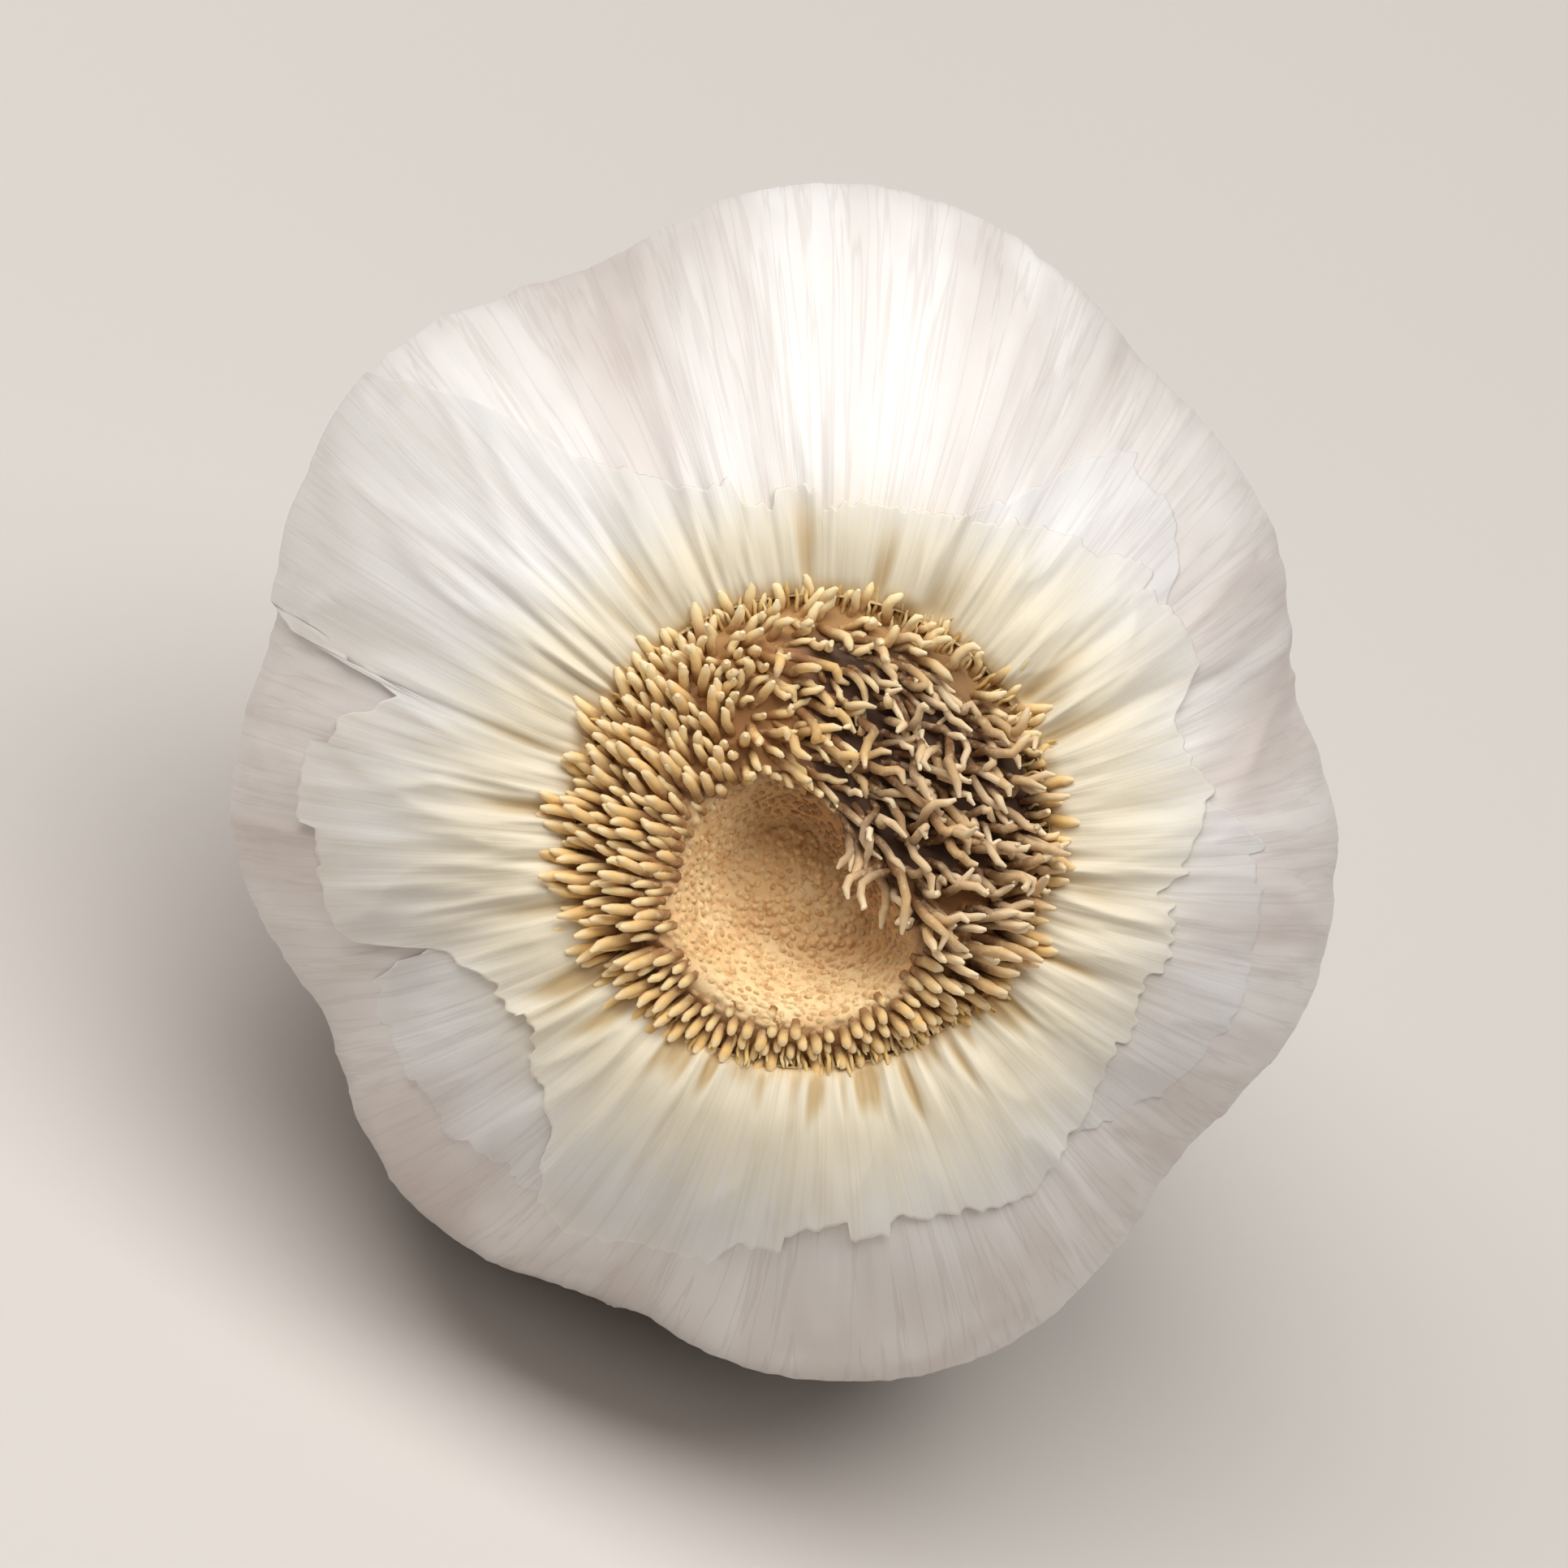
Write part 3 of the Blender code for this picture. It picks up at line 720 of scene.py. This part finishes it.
def main_skin(tree, finish):
    """The whole skin from the pocket under the roots to the rim of the cut neck, and down inside it."""
    angle = all_round(640)
    parts = ((0, 0.10, 6), (0.10, 0.80, 92), (0.80, 1, 42))  # first place, last place, rings
    place = np.concatenate([np.linspace(*part, endpoint=part[1] == 1) for part in parts])
    rows, columns = place[:, None], angle[None, :]
    folds = side_folds(columns, rows)
    body = skin_points(columns, rows, folds + neck_folds(columns, rows))
    rim = 0.40 * MM * steps(angle, 21, 17, 0.03) + 0.07 * MM * wander(angle, 22, 24, 60)
    body[..., 2] += smooth(0.90, 1.0, rows) * rim
    pocket = []
    for share, depth in ((0.96, 3.2 * MM), (0.97, 1.6 * MM), (0.985, 0.5 * MM)):
        ring = ROOT_SHIFT + (body[0][:, :2] - ROOT_SHIFT) * share
        pocket.append(np.column_stack((ring, body[0][:, 2] - depth)))
    middle = body[-1].mean(axis=0)
    lip = []
    for share, depth in ((0.95, -0.05), (0.90, 0.15), (0.87, 0.8), (0.86, 3.0), (0.80, 6.0)):
        ring = middle + (body[-1] - middle) * share
        ring[:, 2] = body[-1][:, 2] + depth * MM  # deeper into the neck
        lip.append(ring)
    grid = np.concatenate((np.stack(pocket), body, np.stack(lip)))
    before, after = len(pocket), len(lip)
    places = np.concatenate((np.zeros(before), place, np.ones(after)))[:, None]
    fold_mask = np.pad(np.clip(folds / (0.3 * MM), 0, 1), ((before, after), (0, 0)))
    relief_mask = smooth(0.0, 0.04, places) * (1 - 0.5 * smooth(0.95, 1.0, places))
    even = np.ones_like(columns)
    fields = {
        "grain": grain(columns, places),
        "cream": cream_share(columns, places),
        "out": outward(grid),
        "crease": fold_mask * smooth(0.1, 0.3, places),
        "valley": clove_valley(columns, places),
        "inner": 0.55 * smooth(0.984, 1.0, places) * even,
        "relief_mask": relief_mask * even,
    }
    obj = wall_mesh("main_skin", grid, fields, closed_start=True, closed_end=True)
    sizes = {
        "Pleat height": 0.55 * MM,
        "Vein height": 0.11 * MM,
        "Veins": 15.0,
        "Fibre height": 0.055 * MM,
        "Material": finish,
    }
    run_nodes(obj, tree, **sizes)
    finish_piece(obj, "bulb")


def thin_skin(name, tree, finish, angle, places, raised, edge_step, relief):
    """A thin skin with an outer face, an edge that bulges by edge_step, and an inner face."""
    columns = np.broadcast_to(angle[None, :], places.shape)
    top = skin_points(columns, places, raised)
    rim = skin_points(columns[-1:], places[-1:] + edge_step, raised[-1:] - SKIN_THICKNESS / 2)
    under = skin_points(columns, places, raised - SKIN_THICKNESS)[::-1]
    out = outward(top) if edge_step > 0 else -outward(top)
    all_places, all_columns, out = (
        np.concatenate((here, here[-1:], here[::-1])) for here in (places, columns, out)
    )
    fields = {
        "grain": grain(all_columns, all_places),
        "cream": cream_share(all_columns, all_places),
        "out": out,
        "valley": 0.5 * clove_valley(all_columns, all_places),
        "inner": 1 - smooth(0.0, 0.035, all_places) + 0.55 * smooth(0.970, 0.992, all_places),
        "relief_mask": 0.3 + 0.7 * smooth(0.0, 0.03, all_places),
    }
    obj = wall_mesh(name, np.concatenate((top, rim, under)), fields, joined=True)
    run_nodes(obj, tree, Material=finish, **relief)
    finish_piece(obj, "bulb")


def torn_line(keys, angle, seed, tears, tear_size, teeth):
    """Where a skin is torn off: along its keys, in this many tears and small teeth."""
    torn = round_the_axis(keys, angle) + tear_size * steps(angle, seed, tears, 0.006)
    return torn + 0.004 * steps(angle, seed + 1, teeth, 0.003)


def torn_round_roots(name, tree, finish, edge_keys, seed, gap, lift, pleat_height):
    """A thin skin round the root end, pleated where it meets the roots and torn off at its outer edge."""
    angle = all_round(800)
    torn = torn_line(edge_keys, angle, seed, 26, 0.022, 130) + 0.004 * wander(angle, seed + 2, 60, 160)
    end = place_of_share(np.clip(torn, 0.42, 1.0)) + np.maximum(torn - 1, 0)
    share = np.linspace(0, 1, 60)[:, None]
    places = end[None, :] * share
    loose = 0.18 + 0.82 * round_the_axis(LOOSE_SIDES, angle)
    curl = np.maximum(lift * loose * (0.6 + 0.4 * wander(angle, seed + 5, 3, 14)), 0.03 * MM)
    waves = 0.09 * MM * (loose * wander(angle, seed + 6, 12, 40)) * share**2
    crumpled = 0.28 * MM * (0.7 + 0.3 * wander(angle, seed + 8, 20, 60)) * (1 - smooth(0, 0.007, places))
    raised = gap * (0.4 + 0.6 * loose) * smooth(0, 0.10, share) + curl * share**5 + waves
    raised = np.maximum(raised, 0.06 * MM * smooth(0, 0.1, share)) + crumpled
    relief = {"Pleat height": pleat_height, "Vein height": 0.03 * MM, "Veins": 24.0, "Seed": float(seed)}
    thin_skin(name, tree, finish, angle, places, raised, EDGE_STEP, relief)


# Where the skin that wraps the neck is torn off: direction in degrees, place from root to neck
NECK_SKIN_EDGE = (
    (-170, 0.70), (-150, 0.60), (-136, 0.52), (-120, 0.66), (-96, 0.74), (-70, 0.70), (-52, 0.56),
    (-38, 0.47), (-26, 0.50), (-14, 0.66), (8, 0.74), (30, 0.68), (52, 0.52), (66, 0.45),
    (82, 0.48), (96, 0.62), (118, 0.72), (140, 0.66), (160, 0.58),
)


def torn_round_neck(tree, finish):
    """A thin skin that wraps the neck and the back of the cloves, torn off on their sides."""
    angle, seed, at_cut = all_round(760), 70, 0.992
    torn = torn_line(NECK_SKIN_EDGE, angle, seed, 24, 0.020, 110)
    share = np.linspace(0, 1, 62)[:, None]
    places = at_cut + (torn[None, :] - at_cut) * share
    curl = np.maximum(0.30 * MM * (0.5 + 0.5 * wander(angle, seed + 5, 3, 14)), 0.04 * MM)
    waves = 0.08 * MM * wander(angle, seed + 6, 10, 36) * share**2
    raised = 0.26 * MM + curl * share**6 + np.maximum(waves, -0.05 * MM)
    raised = raised + side_folds(angle[None, :], places) + neck_folds(angle[None, :], places)
    relief = {"Pleat height": 0.0, "Vein height": 0.07 * MM, "Veins": 19.0, "Fibre height": 0.04 * MM}
    around = np.s_[:, ::-1]  # the other way round, because its rings run from the neck to the roots
    thin_skin("neck_skin", tree, finish, angle[::-1], places[around], raised[around], -EDGE_STEP, relief)


def cut_neck(finish, core_finish):
    """The cut end of the neck: dry sheaths one inside the other round a stalk."""
    angle = all_round(200)
    at_end = np.ones(len(angle))
    rim = skin_points(angle, at_end, neck_folds(angle, at_end))
    middle = rim.mean(axis=0)

    def ring(share, seed, height):
        wavy = share * (1 + 0.10 * wander(angle, seed, 2, 9))
        points = middle + (rim - middle) * wavy[:, None]
        points[:, 2] = rim[:, 2] + height
        return points

    def add_part(name, grid, paint, **shape):
        places = np.full((len(grid), 1), 0.97)  # the grain near the cut
        fields = {"grain": grain(angle[None, :], places), "cream": np.ones(grid.shape[:2])}
        if shape.get("joined"):
            inner = (0.1, 0.3, 0.6, 0.9, 0.6, 0.4, 0.2, 0.1)
            fields["inner"] = np.repeat(inner, len(angle)).reshape(-1, len(angle))
        part = wall_mesh(name, grid, fields, **shape)
        part.data.materials.append(paint)
        finish_piece(part, "bulb")

    for number, share in enumerate((0.76, 0.61, 0.46)):
        seed = 80 + 3 * number
        cut = 0.45 * MM * steps(angle, seed, 9, 0.05) + 0.15 * MM * wander(angle, seed + 1, 5, 30)
        cut = cut + 0.35 * MM * number
        grid = [ring(share, seed, height) for height in (6 * MM, 3 * MM, 0.5 * MM + cut)]
        grid.append(ring(share - 0.02, seed, cut))
        down_inside = (cut + 0.05 * MM, cut + 0.5 * MM, 3 * MM, 6 * MM)
        grid += [ring(share - 0.07, seed, height) for height in down_inside]
        add_part(f"neck_sheath_{number + 1}", np.stack(grid), finish, joined=True)
    frayed = 0.25 * MM * wander(angle, 97, 8, 60)
    grid = [ring(0.33, 95, height) for height in (6 * MM, 3 * MM, 1.1 * MM)]
    for share in (0.31, 0.24, 0.16, 0.08):
        grid.append(ring(share, 95, 0.8 * MM + frayed * share + 0.5 * MM * share**2))
    add_part("neck_stalk", np.stack(grid), core_finish, closed_start=True, closed_end=True)


# The root plate and its roots, with heights above the widest plane
PLATE_RADIUS = 10.90 * MM
PLATE_CREST = 17.0 * MM
PLATE_EDGE = 15.3 * MM
PLATE_CREST_WIDTH = 3.0 * MM
BOWL_SHIFT = np.array((-0.5 * MM, -3.1 * MM))  # from the plate's middle
BOWL_RADIUS = 6.8 * MM
BOWL_STRETCH = np.array((1.03, 0.97))
BOWL_CUT = 3.9 * MM  # how far its middle lies from the straight wall under the long roots
CUT_SIDE = math.radians(34)
BOWL_DEPTH = 4.1 * MM
BOWL_FLAT = 0.30  # the flat share of its radius
ROOTED_RADIUS = PLATE_RADIUS - 0.15 * MM

# Its sides as the root end is seen: 0 degrees at the right, 90 at the top
LONG_SIDE = math.radians(25)
TOP_SIDE = math.radians(95)
STEEP_SIDE = math.radians(45)
COMBED_SIDE = math.radians(48)
LOW_SIDE = math.radians(-85)
COMB = (0.97, -0.24, 0.0)  # the way that the long roots lie

HALF = (0.5, 0.5, 0.5)  # the middle of a noise taken as a vector


def from_bowl_middle(spots):
    """How far spots lie from the bowl's middle, as BOWL_RADIUS is its edge, and in which direction."""
    off = (spots - BOWL_SHIFT) / BOWL_STRETCH
    toward = np.arctan2(off[..., 1], off[..., 0])
    distance = np.linalg.norm(off, axis=-1)
    to_cut = np.maximum(distance * np.cos(toward - CUT_SIDE), 0) / BOWL_CUT
    return BOWL_RADIUS * ((distance / BOWL_RADIUS) ** 6 + to_cut**6) ** (1 / 6), toward


def plate_height(spots):
    """Height of the root plate's face over spots measured from the plate's middle."""
    outer = smooth(0, PLATE_CREST_WIDTH, PLATE_RADIUS - np.linalg.norm(spots, axis=-1))
    from_bowl, toward = from_bowl_middle(spots)
    steep = facing(toward, STEEP_SIDE)
    bowl = 1 - smooth((BOWL_FLAT + 0.32 * steep) * BOWL_RADIUS, BOWL_RADIUS * (1 - 0.04 * steep), from_bowl)
    return PLATE_EDGE + (PLATE_CREST - PLATE_EDGE) * outer - BOWL_DEPTH * bowl


def pointing(direction):
    """Flat vectors of length 1 that point in directions."""
    return np.stack((np.cos(direction), np.sin(direction), 0 * direction), axis=-1)


def plate_face(name, radius=ROOTED_RADIUS, sides=120, rings=60, thick=False):
    """The root plate's face as a mesh, closed below if it has a thickness."""
    edge = pointing(all_round(sides))[:, :2]
    share = np.linspace(0, 1, rings + 1)[1:, None, None]
    spots = BOWL_SHIFT * (1 - share) + edge * radius * share
    height = plate_height(spots)
    from_middle = np.linalg.norm(spots, axis=-1)
    from_bowl, toward = from_bowl_middle(spots)
    of_bowl = from_bowl / BOWL_RADIUS
    points = np.concatenate((spots + ROOT_SHIFT, height[..., None]), axis=-1)

    combed = facing(toward, COMBED_SIDE)
    steep = facing(toward, STEEP_SIDE)
    fields = {
        "away": pointing(toward),
        "long_side": facing(toward, LONG_SIDE),
        "top_side": facing(toward, TOP_SIDE),
        "low_side": facing(toward, LOW_SIDE),
        "combed": smooth(0.62, 0.95, combed),
        "overhang": smooth(0.45, 0.85, steep) * (1 - smooth(1, 1.28, of_bowl)),
        "rim": smooth(PLATE_RADIUS - 2.6 * MM, PLATE_RADIUS, from_middle),
        "outward": smooth(6.5 * MM, PLATE_RADIUS + 2 * MM, from_middle),
        "crest": smooth(0.80, 1.08, of_bowl),
        "wall": smooth(0.35, 0.95, steep) * smooth(0.35, 0.85, of_bowl),
        "growth": smooth(0.83, 0.93, of_bowl) * (1 - 0.35 * smooth(0.70, 0.95, combed)),
        "bare": 1 - smooth(0.78, 0.95, of_bowl),
        "grown": 0.45 + 0.55 * smooth(0.80, 1.06, of_bowl),
    }
    if thick:
        foot = points[-1:] * (1, 1, 0) + (0, 0, PLATE_EDGE - 3.0 * MM)
        points = np.concatenate((points, foot))
        fields = {name: np.concatenate((here, here[-1:])) for name, here in fields.items()}
    return wall_mesh(name, points, fields, closed_start=True, closed_end=thick)


def rim_strip(name):
    """A narrow strip round the rim of the root plate, for the fringe to grow on."""
    away = pointing(all_round(200))
    rings = []
    for past_rim, raised in ((-0.9 * MM, 0.35 * MM), (0.05 * MM, -0.05 * MM)):
        height = np.full(len(away), PLATE_EDGE + raised)
        rings.append(np.column_stack((ROOT_SHIFT + (PLATE_RADIUS + past_rim) * away[:, :2], height)))
    even = np.ones((2, len(away)))
    fields = {"away": np.stack((away, away)), "growth": even, "grown": even, "outward": 0.5 * even}
    return wall_mesh(name, np.stack(rings), fields)


def scarred_plate():
    """Dots the bare plate with the low scars of roots that broke off flush."""
    tree, given = new_tree(
        "root scars", {"Scar spacing": 0.55 * MM, "Scar height": 0.22 * MM, "Cork height": 0.12 * MM}
    )
    position = add(tree, "GeometryNodeInputPosition")
    scale = reckon("DIVIDE", 1.0, given["Scar spacing"])
    cells = {"Vector": position, "Scale": scale, "Randomness": 0.75}
    scar = spread(add(tree, "ShaderNodeTexVoronoi", cells, "Distance"), 0.42, 0.16)
    cork = noise(position, 1 / (0.9 * MM), detail=4.0) - 0.5
    offset = upward(scar * given["Scar height"] + cork * given["Cork height"])
    moved = add(tree, "GeometryNodeSetPosition", {"Geometry": given["Geometry"], "Offset": offset})
    return finish_tree(keep(moved, "scar", scar), given)


def draw(seed, lowest=None, highest=None):
    """A random vector for each point, or a random number from 0 to 1."""
    if lowest is None:
        return add(seed.tree, "FunctionNodeRandomValue", {"Seed": seed}, 1, data_type="FLOAT")
    inputs = {0: lowest, 1: highest, "Seed": seed}
    return add(seed.tree, "FunctionNodeRandomValue", inputs, data_type="FLOAT_VECTOR")


def scattered(given, most, share):
    """Evenly spaced spots on the mesh, thinned to a share, each with its own chance."""
    tree, seed = given["Seed"].tree, given["Seed"]
    inputs = {
        "Mesh": given["Geometry"],
        "Distance Min": given["Spacing"],
        "Density Max": most / (MM * MM),
        "Density Factor": stored(tree, share),
        "Seed": seed,
    }
    spots = add(tree, "GeometryNodeDistributePointsOnFaces", inputs, distribute_method="POISSON")
    return keep(spots, "chance", draw(seed))


def trimmed_roots():
    """Grows bent root stubs on the plate's crest, even in their spacing and free in their lean."""
    tree, given = new_tree(
        "trimmed roots",
        {
            "Spacing": 0.54 * MM,
            "Short length": 2.1 * MM,
            "Long length": 3.7 * MM,
            "Thickness": 0.265 * MM,
            "Curl": 0.5,
            "Seed": 4,
        },
    )
    # A straight line on each spot
    spots = scattered(given, 20.0, "growth")
    spots = keep(spots, "foot", add(tree, "GeometryNodeInputPosition"), "FLOAT_VECTOR")
    stray = draw(given["Seed"] + 5.0, (-1, -1, -1), (1, 1, 1))
    spots = keep(spots, "stray", stray, "FLOAT_VECTOR")
    line = add(tree, "GeometryNodeCurvePrimitiveLine", {"Start": (0, 0, 0), "End": (0, 0, MM)})
    line = add(tree, "GeometryNodeResampleCurve", {"Curve": line, "Count": 9})
    stubs = add(tree, "GeometryNodeInstanceOnPoints", {"Points": spots, "Instance": line})
    stubs = add(tree, "GeometryNodeRealizeInstances", {"Geometry": stubs})

    # What is known at each point along a root
    along = add(tree, "GeometryNodeSplineParameter")
    foot, away, aside = (stored(tree, name, "FLOAT_VECTOR") for name in ("foot", "away", "stray"))
    luck, outward_share, grown, rim, overhang, combed, long_side, top_side, low_side = (
        stored(tree, name)
        for name in "chance outward grown rim overhang combed long_side top_side low_side".split()
    )
    tangle = combed * (rim * -0.8 + 1.0)
    upright = spread(top_side, 0.55, 1.0) * 0.28
    rightward = add(tree, "ShaderNodeSeparateXYZ", {0: away})

    # How long each root is
    ends = {0: spread(long_side, 0.4, 1.0), 2: given["Short length"], 3: given["Long length"]}
    length = add(tree, "ShaderNodeMix", ends, data_type="FLOAT")
    for factor in (
        luck * 0.5 + 0.64,
        grown,
        upright * -0.55 + 1.0,
        rim * (rightward * -0.36 - 0.12) + 1.0,
        spread(low_side, 0.55, 1.0, 1.0, 0.55),
        spread(top_side, 0.8, 1.0) * rim * -0.22 + 1.0,
    ):
        length = length * factor

    # Which way it grows, and how its path bends and wriggles on the way
    clump = (noise(foot, 1 / (1.5 * MM), detail=0.0, output=1) - HALF) * (1.0, 1.0, 0.0)
    direction = (
        away * (outward_share * 0.8 + 0.95 - tangle * 0.95 - overhang * 0.9 - upright)
        + upward(tangle * -0.10 + 1.0)
        + tangle * 1.45 * COMB
        + clump * (tangle * 2.0 + 0.7)
        + aside * (tangle * 0.25 + 0.20 + upright * 0.7)
    )
    path = foot + reckon("NORMALIZE", direction) * (along * length - 0.3 * MM)
    bend = reckon("POWER", along, 2.0) * length
    path = path + away * (bend * (tangle * -0.5 + 0.30)) + upward(bend * (tangle * -0.12 - 0.12))
    shaken = foot * 900.0 + aside * 3.0 + upward(along * 1.6)
    wiggle = noise(shaken, detail=1.5, roughness=0.5, output=1) - HALF
    path = path + wiggle * (length * given["Curl"] * along * (tangle * 1.9 + 1.0))
    bent = add(tree, "GeometryNodeSetPosition", {"Geometry": stubs, "Position": path})

    # How thick it is from its foot to its worn tip
    taper = reckon("POWER", along, 2.0) * -0.10 + reckon("POWER", along, 14.0) * -0.52 + 1.0
    radius = given["Thickness"] * (luck * 0.40 + 0.72) * (tangle * -0.15 + 1.0) * taper
    ring = add(tree, "GeometryNodeCurvePrimitiveCircle", {"Resolution": 7, "Radius": 1.0})
    tube = {"Curve": keep(bent, "tip", along), "Profile Curve": ring, "Scale": radius, "Fill Caps": True}
    tubes = add(tree, "GeometryNodeCurveToMesh", tube)
    return finish_tree(add(tree, "GeometryNodeSetShadeSmooth", {"Geometry": tubes}), given)


def broken_root_scars():
    """Dots the bare bowl with the low stubs of roots that broke off flush."""
    tree, given = new_tree("scars of broken roots", {"Spacing": 0.38 * MM, "Width": 0.20 * MM, "Seed": 9})
    shape = draw(given["Seed"] + 3.0, (0.8, 0.6, 0.25), (1.4, 1.0, 0.55))
    stubs = {
        "Points": scattered(given, 12.0, "bare"),
        "Instance": add(tree, "GeometryNodeMeshIcoSphere", {"Radius": 1.0, "Subdivisions": 2}),
        "Rotation": draw(given["Seed"], (-0.35, -0.35, 0.0), (0.35, 0.35, math.tau)),
        "Scale": shape * given["Width"],
    }
    real = add(tree, "GeometryNodeInstanceOnPoints", stubs)
    real = add(tree, "GeometryNodeRealizeInstances", {"Geometry": real})
    return finish_tree(add(tree, "GeometryNodeSetShadeSmooth", {"Geometry": real}), given)


def root_end():
    """The root plate with its bowl, and the trimmed roots round it."""

    def finish_roots(piece, tree, paint, **sizes):
        run_nodes(piece, tree, Material=paint, **sizes)
        finish_piece(piece, "root_plate")

    plate = plate_face("root_plate_face", PLATE_RADIUS, 300, 110, thick=True)
    finish_roots(plate, scarred_plate(), root_plate_skin("corky root plate, dried"))
    stubs = trimmed_roots()
    finish_roots(plate_face("roots"), stubs, dry_root("root stub, trimmed and dried"))
    fine = {
        "Spacing": 0.30 * MM,
        "Short length": 1.15 * MM,
        "Long length": 1.15 * MM,
        "Thickness": 0.10 * MM,
        "Curl": 0.9,
        "Seed": 6,
    }
    husk = fringe_finish("husk fibres round the roots, dried")
    finish_roots(rim_strip("root_fringe"), stubs, husk, **fine)
    scar = scar_finish("root scar, dried")
    finish_roots(plate_face("root_scars"), broken_root_scars(), scar)


def studio():
    """A pale floor, a soft light from above, two weak fills, and the camera along the bulb's axis."""
    scene = bpy.context.scene
    floor_mesh = bpy.data.meshes.new("floor")
    half = 3.0
    corners = [(-half, -half, 0), (half, -half, 0), (half, half, 0), (-half, half, 0)]
    floor_mesh.from_pydata(corners, [], [(0, 1, 2, 3)])
    floor = placed("floor", floor_mesh)
    floor_mesh.materials.append(matt_paint("floor, matt pale paint"))

    bulb_middle = Vector((0, 0, 25 * MM))
    for name, direction, distance, width, depth, power, hue in (
        ("key", (-0.08, -0.13, 0.97), 0.9, 1.70, 0.55, 11.8, (1.0, 0.99, 0.975)),
        ("left fill", (-0.88, -0.30, 0.38), 1.1, 0.9, 0.9, 1.2, (1.0, 0.99, 0.98)),
        ("right fill", (0.90, -0.22, 0.38), 1.1, 0.9, 0.9, 0.3, (1.0, 0.99, 0.98)),
    ):
        light = bpy.data.lights.new(name, "AREA")
        light.shape = "ELLIPSE"
        light.size = width
        light.size_y = depth
        light.energy = power
        light.color = hue
        lamp = placed(name, light)
        back = Vector(direction).normalized()
        across = (Vector((1, 0, 0)) - back * back.x).normalized()
        turned = Matrix((across, back.cross(across), back)).transposed().to_4x4()
        lamp.matrix_world = Matrix.Translation(bulb_middle + back * distance) @ turned
    world = bpy.data.worlds.new("studio")
    world.use_nodes = True
    put_in(world.node_tree.nodes["Background"], {"Color": (0.89, 0.87, 0.85, 1), "Strength": 0.165})
    scene.world = world

    camera = bpy.data.cameras.new("camera")
    camera.sensor_width = 36
    camera.lens = 205
    eye = placed("camera", camera)
    from_root_end = 0.43
    eye.matrix_world = LAID_DOWN @ Matrix.Translation((0.0, 0.0, from_root_end))
    scene.camera = eye


bpy.context.scene.view_settings.view_transform = "Standard"
relief = skin_relief()
white_skin = dry_skin("garlic skin, dried and satin", WHITE_HUES, 1.0, 0.22, 0.34)
main_skin(relief, white_skin)
torn_round_neck(relief, white_skin)
creamy_skin = dry_skin("outermost garlic skin, torn and creamy", CREAM_HUES, 0.95, 0.16, 0.2)
for name, paint, edge, seed, gap, lift, pleat_height in (
    ("second_skin", white_skin, SECOND_EDGE, 50, 0.16 * MM, 0.10 * MM, 0.60 * MM),
    ("torn_skin", creamy_skin, TORN_EDGE, 30, 0.34 * MM, 0.30 * MM, 0.75 * MM),
):
    torn_round_roots(name, relief, paint, edge, seed, gap, lift, pleat_height)
cut_neck(white_skin, dry_root("neck stalk, cut and dried"))
root_end()
studio()
